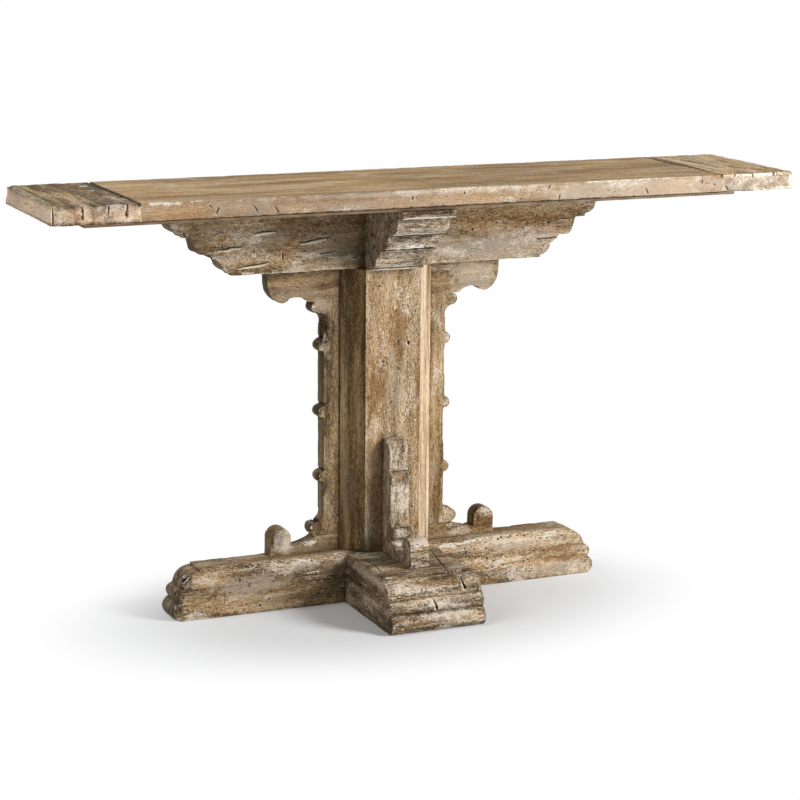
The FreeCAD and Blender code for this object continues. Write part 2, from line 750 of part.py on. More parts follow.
def make_base():
    """Base beam and front foot, each of two layers that lap through one another under the column."""
    inwards = "base_half - %s * base_end_run"
    backwards = "foot_front + %s * base_end_run"
    upper = "base_lower_height + %s * base_upper_height"
    lower = "%s * base_lower_height"
    moves = lines([(inwards % 1, "base_top")]) + shaped(BASE_UPPER_SHARES, inwards, upper)
    moves += lines([(0, "base_lower_height")])
    half = pad("beam_upper_half", "XZ_Plane", (0, "base_top"), moves, "base_beam_thickness", (0, "back", 0))
    whole = fuse("beam_upper_solid", [half, mirror("beam_upper_other_half", half)])
    bevel_side = pad("beam_bevel_side", "YZ_Plane", ("base_front", "chamfer_foot"),
                     lines([("base_front + base_chamfer", "base_top"), ("base_front", "base_top")]),
                     "base_half", (0, 0, 0))
    bevel_front = pad("beam_bevel_front", "XZ_Plane", ("foot_half", "chamfer_foot"),
                      lines([("base_half", "chamfer_foot"), ("base_half", "base_top"),
                             ("foot_half - base_chamfer", "base_top")]),
                      "base_beam_thickness", (0, "back", 0))
    bevel = doc.addObject("Part::Common", "beam_bevel")
    bevel.Base = bevel_side
    bevel.Tool = bevel_front
    beam_tools = [bevel, mirror("beam_bevel_left", bevel), DOWEL_HOLES, BASE_HOLES, ROD_HOLE]
    start = (inwards % BASE_UPPER_SHARES[-1][-1][0], "base_lower_height")
    moves = shaped(BASE_LOWER_SHARES, inwards, lower)
    moves += lines([("foot_half", 0), ("foot_half", "base_lower_height")])
    wing = pad("beam_lower_blank", "XZ_Plane", start, moves, "base_beam_thickness", (0, "back", 0))
    wing_right = cut("base_beam_lower_right", wing, [BASE_HOLES])
    moves = lines([(backwards % 1, "base_top")]) + shaped(BASE_UPPER_SHARES, backwards, upper)
    moves += lines([("base_front", "base_lower_height")])
    corner = ("-foot_half", 0, 0)
    foot_upper = pad("foot_upper_blank", "YZ_Plane", ("base_front", "base_top"), moves, "foot_width", corner)
    foot_bevel = pad("foot_bevel", "XZ_Plane", ("foot_half", "chamfer_foot"),
                     lines([("foot_half", "base_top"), ("foot_half - base_chamfer", "base_top")]),
                     "table_depth", (0, "base_front", 0))
    foot_tools = [foot_bevel, mirror("foot_bevel_left", foot_bevel), DOWEL_HOLES, BASE_HOLES]
    start = (backwards % BASE_UPPER_SHARES[-1][-1][0], "base_lower_height")
    moves = shaped(BASE_LOWER_SHARES, backwards, lower) + lines([("back", 0), ("back", "base_lower_height")])
    foot_lower = pad("foot_lower_blank", "YZ_Plane", start, moves, "foot_width", corner)
    return {
        "base_beam_upper": cut("base_beam_upper", whole, beam_tools),
        "base_beam_lower_right": wing_right,
        "base_beam_lower_left": mirror("base_beam_lower_left", wing_right),
        "front_foot_upper": cut("front_foot_upper", foot_upper, foot_tools),
        "front_foot_lower": cut("front_foot_lower", foot_lower, [BASE_HOLES, ROD_HOLE, ROD_POCKETS]),
    }


def make_fasteners():
    """Dowels, and the tie rod with a washer and a nut let into the beam and the foot."""
    rod = cylinder("tie_rod", "rod_diameter / 2", "sub_top_underside - 2 * rod_end_inset",
                   (0, "rod_place", "rod_end_inset"))
    bore = cylinder("rod_bore", "rod_diameter / 2", "table_height", (0, "rod_place", "-cut_overrun"))
    low_washer = "rod_pocket_depth - rod_washer_thickness"
    high_washer = "sub_top_underside - rod_pocket_depth"
    washers = []
    nuts = []
    for level, nut_level in (
        (low_washer, low_washer + " - rod_nut_height"),
        (high_washer, high_washer + " + rod_washer_thickness"),
    ):
        count = len(nuts)
        disc = cylinder("disc_%d" % count, "rod_washer_diameter / 2", "rod_washer_thickness",
                        (0, "rod_place", level))
        washers.append(cut("washer_%d" % count, disc, [bore]))
        prism = doc.addObject("Part::Prism", "hexagon_%d" % count)
        prism.Polygon = 6
        bind(prism, Circumradius="rod_nut_width / sqrt(3)", Height="rod_nut_height")
        place(prism, (0, "rod_place", nut_level))
        nuts.append(cut("nut_%d" % count, prism, [bore]))
    return {
        "tie_rod": rod,
        "tie_rod_washers": group("tie_rod_washers", washers),
        "tie_rod_nuts": group("tie_rod_nuts", nuts),
        "bracket_dowels": group("bracket_dowels", dowels("dowel", "dowel_diameter / 2", "dowel_length")),
        "base_dowels": group(
            "base_dowels", base_dowels("base_dowel", "base_dowel_diameter / 2", "base_dowel_length")),
    }


parts = {}
for make in (make_top, make_sub_top, make_corbels, make_column, make_side_brackets, make_front_bracket,
             make_base, make_fasteners):
    parts.update(make())
name_parts(parts)
doc.recompute()

for thing in doc.Objects:
    if "Invalid" in thing.State or "Error" in thing.State:
        raise RuntimeError("failed object: %s" % thing.Label)
for label, thing in parts.items():
    if thing.Shape.isNull() or not thing.Shape.isValid() or not thing.Shape.Solids:
        raise RuntimeError("bad shape: %s" % label)

os.makedirs("parts", exist_ok=True)
for label, thing in parts.items():
    thing.Shape.exportStep("parts/%s.step" % label)
    print("%-28s solids %2d volume %10.1f cm3" % (label, len(thing.Shape.Solids), thing.Shape.Volume / 1000))
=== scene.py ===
import math

import bmesh
import bpy
import numpy as np
from mathutils import Matrix, Vector
from mathutils.bvhtree import BVHTree


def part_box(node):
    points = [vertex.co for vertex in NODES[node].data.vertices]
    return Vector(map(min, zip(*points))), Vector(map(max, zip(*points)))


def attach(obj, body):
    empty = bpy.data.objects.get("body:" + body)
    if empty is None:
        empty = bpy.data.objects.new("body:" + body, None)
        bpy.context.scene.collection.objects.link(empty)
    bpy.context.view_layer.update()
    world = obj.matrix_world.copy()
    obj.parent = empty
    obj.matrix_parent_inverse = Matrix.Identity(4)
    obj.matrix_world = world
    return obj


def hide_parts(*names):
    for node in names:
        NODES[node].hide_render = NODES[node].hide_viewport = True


# Worn, limed wood laid over a pier table's solids. Metres, +Z up, the wall is at +Y.

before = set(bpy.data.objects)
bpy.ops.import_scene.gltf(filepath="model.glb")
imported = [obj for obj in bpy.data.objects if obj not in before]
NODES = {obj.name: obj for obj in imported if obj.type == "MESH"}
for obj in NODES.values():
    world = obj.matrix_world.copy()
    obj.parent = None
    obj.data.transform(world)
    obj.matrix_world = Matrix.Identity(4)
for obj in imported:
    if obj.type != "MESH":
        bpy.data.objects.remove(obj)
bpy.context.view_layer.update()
scene = bpy.context.scene

X, Y, Z = 0, 1, 2
MM = 0.001
TINY = 1e-12

# The wooden pieces by slot: the axis that the grain runs along, and the look.
WOOD_BY_SLOT = {
    "top_wood": {
        "top_board_front": (X, "top_edge"),
        "top_board_middle": (X, "top"),
        "top_board_back": (X, "top"),
    },
    "breadboard_wood": {
        "breadboard_end_left": (Y, "end"),
        # The right end's look is a paler copy of the end's, painted light for the brighter light at the
        # right.
        "breadboard_end_right": (Y, "lit_end"),
    },
    "frame_wood": {
        "corbel_beam": (X, "corbel"),
        "front_corbel": (X, "limed"),
        "column_front_stave": (Z, "stave"),
        "column_chamfer_stave_left": (Z, "dark_stave"),
        "column_chamfer_stave_right": (Z, "pale_stave"),
        "column_side_stave_left": (Z, "dark_stave"),
        "column_side_stave_right": (Z, "stave"),
        "column_back_panel": (Z, "stave"),
        "left_bracket_ear": (X, "dark_bracket"),
        "left_bracket_upright": (Z, "dark_bracket"),
        "left_bracket_foot": (X, "bracket"),
        "right_bracket_ear": (X, "bracket"),
        "right_bracket_upright": (Z, "bracket"),
        "right_bracket_foot": (X, "bracket"),
        "front_bracket_upright": (Z, "limed"),
        "front_bracket_foot": (X, "limed"),
        "base_beam_upper": (X, "base"),
        "base_beam_lower_left": (X, "base"),
        "base_beam_lower_right": (X, "base"),
        "front_foot_upper": (X, "foot"),
        "front_foot_lower": (X, "foot"),
    },
}
PIECES = {node: (*row, slot) for slot, rows in WOOD_BY_SLOT.items() for node, row in rows.items()}
PLAIN_WOOD = ("sub_top",)
INNER_WOOD = ("top_splines", "breadboard_pegs", "column_top_block", "column_bottom_block",
              "bracket_dowels", "base_dowels")
STEEL = ("sub_top_screws", "corbel_screws", "tie_rod", "tie_rod_washers", "tie_rod_nuts")

# Each look in millimetres: the size of its mesh's faces, coarse on broad flat boards, and how far it is
# worn: rounded edges, chips, slow waves, furrows and dents.
WEAR = {
    "top": (4, 0.9, 0.8, 0.7, 0.2, 0.4),
    "top_edge": (4, 1.1, 1.6, 0.8, 0.2, 0.5),
    "end": (4, 1.3, 1.6, 1.0, 0.8, 1.0),
    "lit_end": (4, 1.3, 1.6, 1.0, 0.7, 0.8),
    "corbel": (3, 1.0, 1.0, 1.0, 0.4, 1.0),
    "limed": (2, 0.8, 0.9, 0.7, 0.3, 0.7),
    "stave": (4, 0.6, 0.5, 0.8, 0.4, 0.5),
    "dark_stave": (4, 0.6, 0.5, 0.8, 0.4, 0.5),
    "pale_stave": (4, 0.6, 0.4, 0.6, 0.2, 0.2),
    "bracket": (3, 0.9, 0.9, 0.7, 0.3, 0.6),
    "dark_bracket": (3, 0.9, 0.9, 0.7, 0.3, 0.6),
    "base": (3, 1.2, 1.2, 0.8, 0.3, 0.7),
    "foot": (2, 1.1, 1.3, 0.9, 0.4, 0.9),
}
END_LOOKS = ("end", "lit_end")
USUAL_CELL = 3 * MM
NEAR = 12 * MM
TOUCHING = 0.4 * MM
EDGE_WINDOW, NOOK_WINDOW = 5 * MM, 16 * MM
EDGE_BEND, NOOK_BEND = 2.4 * MM, 9 * MM
EDGE_ROUNDS, NOOK_ROUNDS = 2, 8
SHARP_ANGLE = math.radians(40)

# Cracks and gouges in millimetres: pieces, face, width, depth, pale lip, taper, and the line in the
# face's two axes. The face is an axis and a sign; a tapered line is widest at its first point. The
# pale lip, a painted highlight, lies to the right of the line's run, or to the left where it is negative.
FRONT, UP, LEFT = (Y, -1), (Z, 1), (X, -1)
TOP_EDGE = ("top_board_front",)
LEFT_END = ("breadboard_end_left",)
RIGHT_END = ("breadboard_end_right",)
TOP_BOARDS = ("top_board_front", "top_board_middle", "top_board_back")
JOINT_LEFT = LEFT_END + TOP_BOARDS
JOINT_RIGHT = RIGHT_END + TOP_BOARDS
BEAM = ("corbel_beam",)
BASE = ("base_beam_upper", "base_beam_lower_left", "base_beam_lower_right")
FOOT = ("front_foot_upper", "front_foot_lower")
CRACKS = [
    (JOINT_LEFT, UP, 12, 4, 0, 0, ((-630, -190), (-628, -60), (-631, 40), (-629, 190))),
    (JOINT_RIGHT, UP, 10, 3.5, 0, 0, ((628, -190), (630, -40), (627, 60), (628, 190))),
    (LEFT_END, UP, 3.5, 2.5, 0.5, 0, ((-788, -165), (-786, -40), (-789, 90), (-787, 160))),
    (LEFT_END, UP, 3, 2, 0.3, 0, ((-741, -168), (-738, -80), (-742, 30))),
    (LEFT_END, UP, 3, 2, 0.3, 0, ((-690, -168), (-694, -60), (-689, 60), (-693, 120))),
    (LEFT_END, UP, 3.5, 2.2, 0.3, 0, ((-655, -168), (-652, -90), (-656, 20), (-651, 140))),
    (RIGHT_END, UP, 3, 2, 0.4, 0, ((690, -60), (693, 40), (689, 150))),
    (RIGHT_END, UP, 3.5, 2.2, 0.4, 0, ((655, -120), (650, 10), (654, 130))),
    (RIGHT_END, UP, 2.5, 1.8, 0.3, 0, ((742, -150), (745, -20), (741, 100))),
    (LEFT_END, FRONT, 4, 6, 0.5, 1, ((-740, 916), (-738, 900), (-741, 878))),
    (LEFT_END, FRONT, 4, 6, 0.5, 1, ((-689, 916), (-690, 903), (-690, 889))),
    (LEFT_END, FRONT, 4.5, 6.5, 0.6, 1, ((-653, 916), (-654, 902), (-656, 889))),
    (LEFT_END, FRONT, 4, 2, 0, 0, ((-797, 920), (-796, 896), (-797, 874))),
    (RIGHT_END, FRONT, 3, 4, 0.4, 1, ((657, 916), (656, 906))),
    (RIGHT_END, FRONT, 3, 4, 0.4, 1, ((700, 916), (701, 903))),
    (RIGHT_END, FRONT, 3, 4, 0.4, 1, ((751, 916), (750, 905))),
    (RIGHT_END, FRONT, 3.5, 3.5, 0.4, 0, ((636, 893), (642, 883))),
    (BEAM, FRONT, 7, 4, 1, 0, ((-302, 801), (-278, 804), (-252, 805))),
    (BEAM, FRONT, 7, 4, 1, 0, ((-383, 771), (-352, 774), (-325, 777))),
    (BEAM, FRONT, 7.5, 4, 1, 0, ((-204, 777), (-170, 781), (-137, 786))),
    (BEAM, FRONT, 6.5, 4, 1, 0, ((-340, 733), (-300, 737), (-267, 741))),
    (BEAM, FRONT, 4.5, 4, 0.9, 0, ((-393, 799), (-381, 805), (-368, 808))),
    (BEAM, FRONT, 3, 2.5, 0.7, 0, ((-384, 809), (-372, 812))),
    (BEAM, FRONT, 4, 3, 0.7, 0, ((-240, 759), (-241, 745))),
    (BEAM, FRONT, 4, 3, 0.6, 0, ((-160, 752), (-120, 756))),
    (BEAM, FRONT, 5, 3.5, -0.3, 1, ((393, 758), (361, 757), (329, 759))),
    (BEAM, FRONT, 4, 2.5, 0.6, 0, ((395, 798), (419, 797))),
    (BEAM, FRONT, 2.6, 1.5, 0.4, 0, ((186, 746), (206, 744))),
    (("base_beam_upper",), LEFT, 6, 4, 0.9, 0, ((112, 97), (118, 78))),
    (("base_beam_upper",), LEFT, 6, 4, 0.9, 0, ((130, 99), (133, 80))),
    (("base_beam_upper",), LEFT, 5, 3, 0.8, 0, ((150, 96), (152, 84))),
    (("base_beam_lower_left",), LEFT, 5, 4, 0.9, 0, ((112, 62), (114, 52))),
    (("base_beam_lower_left",), LEFT, 5, 4, 0.9, 0, ((128, 64), (129, 52))),
    (("base_beam_lower_left",), LEFT, 5, 3.5, 0.8, 0, ((120, 30), (121, 14))),
    (FOOT, FRONT, 8, 6, -0.7, 1, ((68, 79), (67, 88), (65, 98))),
    (FOOT, FRONT, 8, 6, -0.7, 1, ((-3, 47), (-6, 57), (-9, 69))),
    (FOOT, UP, 4, 4, 0.5, 0, ((76, 60), (62, -10), (42, -108))),
    (FOOT, UP, 3.5, 3, 0.5, 0, ((-86, 70), (-80, 0), (-88, -80))),
    (FOOT, UP, 3, 2.5, 0.4, 0, ((-52, -40), (-44, -100))),
    (("left_bracket_upright",), FRONT, 3.4, 0.8, -1, 0, ((-156, 626), (-140, 606), (-127, 583))),
    (("left_bracket_upright",), FRONT, 3, 0.8, -1, 0, ((-127, 583), (-141, 562))),
    (("column_front_stave",), FRONT, 8, 5, 0.5, 0, ((34, 560), (36, 552))),
    (("column_front_stave",), FRONT, 4, 2, 0.3, 0, ((14, 566), (8, 556))),
]

# Level lines of painted shade under the front corbel's mouldings and at the brackets' beads, with
# painted highlight as the pale lip: pieces, face, middle and reach across the face, depth, pale lip, then
# the level and width of each.
LEVEL_LINES = [
    (("front_corbel",), FRONT, (0, 90), 1.5, -1.0, ((844, 5.0), (803, 6.0), (766, 6.0), (722, 5.0))),
    (("front_bracket_upright",), FRONT, (0, 21), 2.0, 0.1, ((289, 2.4), (170, 2.4))),
    (("front_bracket_upright",), FRONT, (0, 21), 5.0, 0.1, ((146, 4.5),)),
    (("left_bracket_upright",), LEFT, (152, 21), 4.0, 0.2, ((569, 6.0), (427, 6.0), (285, 6.0), (173, 6.0))),
]
for pieces, face, (middle, reach), depth, lip, levels in LEVEL_LINES:
    for level, width in levels:
        line = ((middle - reach, level), (middle, level), (middle + reach, level))
        CRACKS.append((pieces, face, width, depth, lip, 0, line))

# Round pits in front faces, by x and z. Each is a short line with a random tilt and width.
PITS = {
    BASE: [(229, 61), (247, 53), (320, 45), (330, 46), (176, 88), (358, 93), (376, 91), (198, 85), (227, 84),
           (244, 39), (269, 41), (186, 69), (258, 102), (266, 104), (283, 103), (289, 105), (306, 104),
           (322, 103), (331, 105), (-226, 30), (-278, 27), (-364, 51), (-326, 103), (-312, 102), (-298, 104),
           (-180, 101)],
    BEAM: [(177, 811), (190, 786), (293, 777), (369, 791), (391, 790)],
}
PIT_HALF, PIT_TILT, PIT_WIDTHS, PIT_DEPTH, PIT_LIP = 2, 1, (2.6, 5.2), 4.0, 0.1
pit_rng = np.random.default_rng(61)
for pieces, places in PITS.items():
    for pit_x, pit_z in places:
        tilt = pit_rng.uniform(-PIT_TILT, PIT_TILT)
        line = ((pit_x - PIT_HALF, pit_z), (pit_x + PIT_HALF, pit_z + tilt))
        CRACKS.append((pieces, FRONT, pit_rng.uniform(*PIT_WIDTHS), PIT_DEPTH, PIT_LIP, 0, line))

# The painted shade along the top's lower arris, and the nicks in its front: middle and half run, by x and z.
LOWER_ARRIS = ((-799, 880), (0, 880), (799, 880))
CRACKS.append((TOP_EDGE + LEFT_END + RIGHT_END, FRONT, 5.0, 0.5, 0.0, 0, LOWER_ARRIS))
NICKS = [(-476, 894, 4, 8), (-398, 894, -4, 7), (-489, 904, -4, 3), (-355, 890, -3, 6), (-73, 900, 3, 6),
         (39, 905, 3, 5), (450, 891, -3, 6), (226, 908, 3, 5), (250, 889, 2, 7), (580, 903, -1, 3),
         (610, 897, -1, 3)]
NICK_WIDTH, NICK_DEPTH, NICK_LIP = 3.6, 3.0, 0.4
for nick_x, nick_z, half_x, half_z in NICKS:
    line = ((nick_x - half_x, nick_z - half_z), (nick_x + half_x, nick_z + half_z))
    CRACKS.append((TOP_EDGE, FRONT, NICK_WIDTH, NICK_DEPTH, NICK_LIP, 0, line))

# Hollows worn along an arris, in millimetres: piece, line, reach and depth.
SCALLOPS = [
    ("left_bracket_upright", ((-140, 135, 240), (-140, 135, 620)), 13, 3.5),
    ("left_bracket_upright", ((-140, 135, 572), (-138, 135, 596)), 24, 10),
    ("left_bracket_upright", ((-158, 135, 624), (-142, 135, 604)), 12, 6),
    ("left_bracket_upright", ((-140, 135, 515), (-140, 135, 530)), 14, 3),
    ("left_bracket_upright", ((-140, 135, 370), (-140, 135, 385)), 15, 4),
    ("left_bracket_upright", ((-140, 135, 240), (-140, 135, 255)), 15, 4),
    ("left_bracket_upright", ((-152, 135, 553), (-152, 135, 555)), 9, 5),
    ("left_bracket_upright", ((-152, 135, 410), (-152, 135, 412)), 9, 5),
    ("left_bracket_upright", ((-152, 135, 268), (-152, 135, 270)), 9, 5),
    ("left_bracket_ear", ((-262, 135, 690), (-255, 135, 675)), 12, 3),
    ("right_bracket_upright", ((140, 135, 330), (140, 135, 390)), 12, 2.5),
    ("right_bracket_upright", ((140, 135, 480), (140, 135, 520)), 12, 2),
    ("front_foot_lower", ((-106, -158, 55), (-106, -146, 20)), 16, 4),
    ("front_foot_upper", ((-106, -112, 106), (-100, -130, 96)), 16, 4),
    ("base_beam_upper", ((-440, 97, 108), (-462, 97, 94)), 22, 7),
    ("base_beam_upper", ((-467, 97, 80), (-467, 97, 68)), 22, 7),
    ("base_beam_lower_left", ((-490, 97, 54), (-490, 97, 10)), 24, 8),
    ("base_beam_lower_left", ((-470, 97, 41), (-110, 97, 42)), 6, 1.6),
    ("base_beam_lower_right", ((110, 97, 42), (470, 97, 41)), 6, 1.6),
    ("base_beam_upper", ((-440, 97, 108), (440, 97, 108)), 11, 3),
    ("front_foot_upper", ((-106, 90, 108), (-106, -100, 108)), 12, 3.5),
    ("left_bracket_foot", ((-256, 135, 166), (-262, 135, 138)), 29, 12),
    ("front_corbel", ((-59, -4, 773), (59, -4, 773)), 16, 5),
    ("right_bracket_foot", ((214, 135, 166), (214, 135, 140)), 16, 5),
    ("breadboard_end_left", ((-800, 150, 916), (-800, 170, 905)), 16, 3),
    ("breadboard_end_left", ((-800, -170, 916), (-795, -170, 912)), 12, 2.5),
    ("breadboard_end_right", ((800, -170, 916), (795, -170, 910)), 14, 3),
]

# Patches in millimetres, by kind and from the top down: middle, and reach along each axis.
PATCHES = {
    # Lime patches: limed wear, and painted light on the lit bands of the front corbel's tiers, on the lower
    # right of the corbel beam and along the upper side of the foot's lower torus.
    "lime": [
        ((-330, -169, 914), (190, 6, 4)), ((-90, -168, 913), (120, 7, 5)),
        ((110, -169, 913), (110, 7, 6)), ((380, -170, 908), (240, 8, 6)),
        ((-690, -170, 908), (45, 8, 12)), ((150, -170, 887), (60, 8, 9)), ((740, -170, 881), (70, 6, 5)),
        ((0, -62, 819), (62, 16, 8)), ((0, -8, 783), (62, 24, 9)), ((260, 109, 745), (170, 8, 26)),
        ((300, 109, 736), (140, 8, 24)), ((0, 60, 735), (62, 40, 12)), ((0, 20, 722), (60, 120, 8)),
        ((-180, 109, 720), (190, 8, 5)), ((230, 109, 720), (170, 8, 6)),
        ((-170, 135, 652), (26, 10, 20)), ((-144, 135, 637), (20, 8, 20)),
        ((-134, 135, 552), (11, 8, 28)), ((0, 56, 320), (26, 10, 26)), ((0, 50, 220), (28, 12, 44)),
        ((0, -59, 163), (26, 16, 10)), ((232, 136, 163), (22, 12, 10)), ((0, 38, 158), (26, 22, 14)),
        ((-230, 136, 142), (22, 12, 34)), ((0, -59, 116), (26, 14, 10)), ((-106, -10, 101), (8, 110, 6)),
        ((330, 97, 98), (90, 10, 10)), ((-195, 97, 98), (60, 10, 12)), ((-420, 97, 86), (34, 10, 12)),
        ((-62, -148, 84), (46, 36, 12)), ((-240, 97, 80), (90, 10, 14)), ((80, -150, 60), (20, 30, 12)),
        ((230, 97, 50), (70, 10, 12)), ((0, -158, 30), (100, 20, 9)), ((-380, 97, 14), (90, 10, 9)),
    ],
    # White patches: chalky chips and worn lime, and painted highlights along the front corbel's tiers.
    "white": [
        ((-663, 37, 916), (11, 8, 5)), ((-665, -132, 916), (10, 6, 5)), ((-660, 104, 916), (11, 8, 5)),
        ((682, 111, 916), (12, 7, 5)), ((707, 36, 916), (12, 7, 5)), ((680, -69, 916), (12, 7, 5)),
        ((40, -170, 915), (60, 4, 3)), ((400, -170, 915), (110, 4, 3)), ((-580, -169, 914), (46, 6, 4)),
        ((-510, -169, 914), (40, 6, 3)), ((715, -170, 914), (95, 9, 6)), ((800, -170, 896), (12, 8, 26)),
        ((-5, 0, 806), (48, 130, 4)), ((20, 0, 774), (36, 130, 5)), ((-32, 0, 768), (24, 130, 6)),
        ((0, 0, 724), (52, 130, 5)), ((0, -59, 165), (18, 12, 5)), ((-10, 40, 133), (13, 16, 11)),
        ((-172, 138, 128), (22, 10, 7)), ((-172, 97, 104), (62, 8, 4)), ((225, 97, 104), (56, 8, 3)),
        ((385, 97, 104), (60, 8, 3)), ((148, 97, 101), (50, 12, 7)), ((-458, 115, 92), (7, 14, 5)),
        ((-181, 97, 75), (20, 6, 3)), ((-474, 123, 63), (8, 14, 5)), ((-489, 104, 36), (6, 10, 7)),
    ],
    "brown": [
        ((0, -91, 858), (70, 12, 7)), ((215, 109, 777), (70, 8, 7)), ((12, 91, 575), (26, 8, 60)),
        ((-40, 91, 470), (20, 8, 70)), ((0, 44, 277), (36, 16, 11)), ((0, -59, 138), (18, 14, 8)),
        ((300, 148, 108), (130, 22, 8)), ((10, -125, 94), (70, 18, 8)), ((-372, 97, 66), (26, 10, 5)),
        ((400, 97, 66), (60, 10, 8)),
    ],
    "amber": [
        ((540, -170, 898), (110, 8, 18)), ((-560, -170, 892), (70, 8, 20)),
        ((-210, 109, 828), (40, 10, 10)), ((270, 109, 802), (170, 10, 26)),
        ((-90, 109, 775), (50, 10, 24)), ((-205, 135, 692), (60, 10, 22)),
        ((160, 135, 674), (52, 10, 26)), ((-170, 135, 640), (50, 10, 30)),
        ((-82, 112, 400), (11, 16, 190)), ((122, 135, 330), (14, 10, 150)),
        ((238, 136, 130), (34, 10, 26)), ((320, 97, 76), (70, 10, 5)), ((-320, 97, 64), (115, 10, 28)),
        ((290, 97, 41), (170, 10, 5)), ((-290, 97, 41), (170, 10, 5)), ((-300, 97, 18), (150, 10, 16)),
    ],
    "grey": [
        ((712, -170, 890), (90, 8, 30)), ((-206, -170, 889), (60, 10, 13)),
        ((-290, 109, 790), (80, 10, 30)), ((-120, 109, 770), (90, 10, 40)),
    ],
    # Veils of thin lime, paler toward the right of the corbel beam; along the right of the top's edge and on
    # the top's left end they are painted light.
    "veil": [
        ((-100, -170, 911), (340, 8, 6)), ((-800, 0, 896), (14, 220, 34)),
        ((440, -170, 895), (270, 10, 32)), ((270, 109, 846), (200, 10, 14)),
        ((270, 109, 745), (220, 10, 46)), ((205, 135, 680), (64, 10, 50)),
        ((-144, 135, 637), (24, 8, 22)), ((-134, 135, 552), (13, 12, 32)),
        ((-230, 136, 138), (24, 12, 40)), ((-200, 97, 98), (60, 10, 14)),
        ((-106, -30, 96), (10, 120, 14)), ((290, 97, 86), (140, 10, 14)), ((-320, 97, 64), (95, 10, 26)),
        ((380, 97, 20), (110, 10, 16)),
    ],
    # Dark patches: the dark breadboard joints, and elsewhere mostly painted shade and shadow: the top's
    # shadow on the corbel's fascia, shade under its tiers, in the scoop, beside the boss, at the base's left
    # end, in the foot's mouldings and along the floor, and the shadows of the front bracket on the column
    # and of the foot on the base.
    "dark": [
        ((-638, 0, 916), (9, 190, 6)), ((636, 0, 916), (7, 190, 6)), ((0, -91, 858), (66, 12, 12)),
        ((0, -60, 837), (64, 14, 4)), ((0, -18, 797), (64, 24, 4.5)), ((0, 18, 763), (64, 24, 5)),
        ((-150, 137, 612), (12, 16, 12)), ((-139, 137, 592), (8, 16, 20)),
        ((-259, 137, 150), (13, 14, 28)), ((-52, 91, 118), (26, 10, 22)), ((-70, 96, 110), (46, 24, 6)),
        ((50, -125, 101), (60, 22, 6)), ((-455, 97, 88), (12, 10, 18)), ((0, -142, 79), (125, 26, 4.5)),
        ((62, -152, 56), (44, 20, 7)), ((-106, 45, 48), (10, 60, 34)), ((0, -150, 42), (125, 30, 8)),
        ((-118, 97, 40), (36, 10, 48)), ((-478, 97, 30), (12, 10, 28)), ((0, -155, 7), (115, 30, 9)),
        ((300, 97, 1), (200, 8, 4)), ((-300, 97, 1), (190, 8, 3)),
    ],
}
# The left beads, by x and z, get painted shade and a painted glint, and the right ones opposite are limed.
LEFT_BEADS = ((-163, 637), (-151, 557), (-151, 414), (-151, 272), (-169, 160))
for bead_x, bead_z in LEFT_BEADS:
    PATCHES["dark"].append(((bead_x, 142, bead_z), (12, 20, 13)))
    PATCHES["white"].append(((bead_x + 1, 134, bead_z + 2), (4, 6, 5)))
    PATCHES["lime"].append(((-bead_x, 136, bead_z), (16, 12, 14)))

# Multipliers and shifts of a common integer hash.
AXIS_PRIMES = np.array((73856093, 19349663, 83492791), np.uint32)
SEED_PRIME = 2654435761
MIXERS = ((13, 0x5BD1E995), (15, 0x27D4EB2D))
LAST_SHIFT = 14
WORD = 0xFFFFFFFF
NOISE_SHIFT = 1000.5
OCTAVE_SEEDS = 31


def hashed(whole, seed):
    """A repeatable number from 0 to 1 for each whole-numbered place."""
    mixed = np.bitwise_xor.reduce(whole * AXIS_PRIMES, axis=1) ^ np.uint32(seed * SEED_PRIME & WORD)
    for shift, mixer in MIXERS:
        mixed = (mixed ^ (mixed >> np.uint32(shift))) * np.uint32(mixer)
    return (mixed ^ (mixed >> np.uint32(LAST_SHIFT))).astype(np.float64) / WORD


def noise(places, frequency, seed, octaves):
    """Smooth noise from 0 to 1 at places in metres; the frequency is per metre, one or per axis."""
    total = np.zeros(len(places))
    share = 0.0
    for octave in range(octaves):
        place = places * (np.asarray(frequency, float) * 2 ** octave) + NOISE_SHIFT
        low = np.floor(place)
        part = place - low
        part = part * part * part * (part * (part * 6 - 15) + 10)
        low = low.astype(np.int64).astype(np.uint32)
        value = np.zeros(len(places))
        for corner in range(8):
            step = np.array([corner & 1, corner >> 1 & 1, corner >> 2 & 1])
            weight = np.prod(np.where(step, part, 1 - part), axis=1)
            value += weight * hashed(low + step.astype(np.uint32), seed + OCTAVE_SEEDS * octave)
        total += value * 0.5 ** octave
        share += 0.5 ** octave
    return total / share


def ramp(values, low, high):
    """0 below low, 1 above high, smooth between."""
    t = np.clip((values - low) / (high - low), 0, 1)
    return t * t * (3 - 2 * t)


def read(layer, name, width=3):
    """One property of all of a mesh's points or faces, as an array."""
    values = np.empty(len(layer) * width, np.float32)
    layer.foreach_get(name, values)
    return values.reshape(-1, width).astype(float)


def surface_of(mesh):
    """A mesh's points and the way out at each."""
    return read(mesh.vertices, "co"), read(mesh.vertex_normals, "vector")


def linked(name, data):
    """A new object in the scene."""
    made = bpy.data.objects.new(name, data)
    scene.collection.objects.link(made)
    return made


SAME_POINT = 1e-6
LEAST_OCTREE, OCTREE_SHARE = 3, 0.99


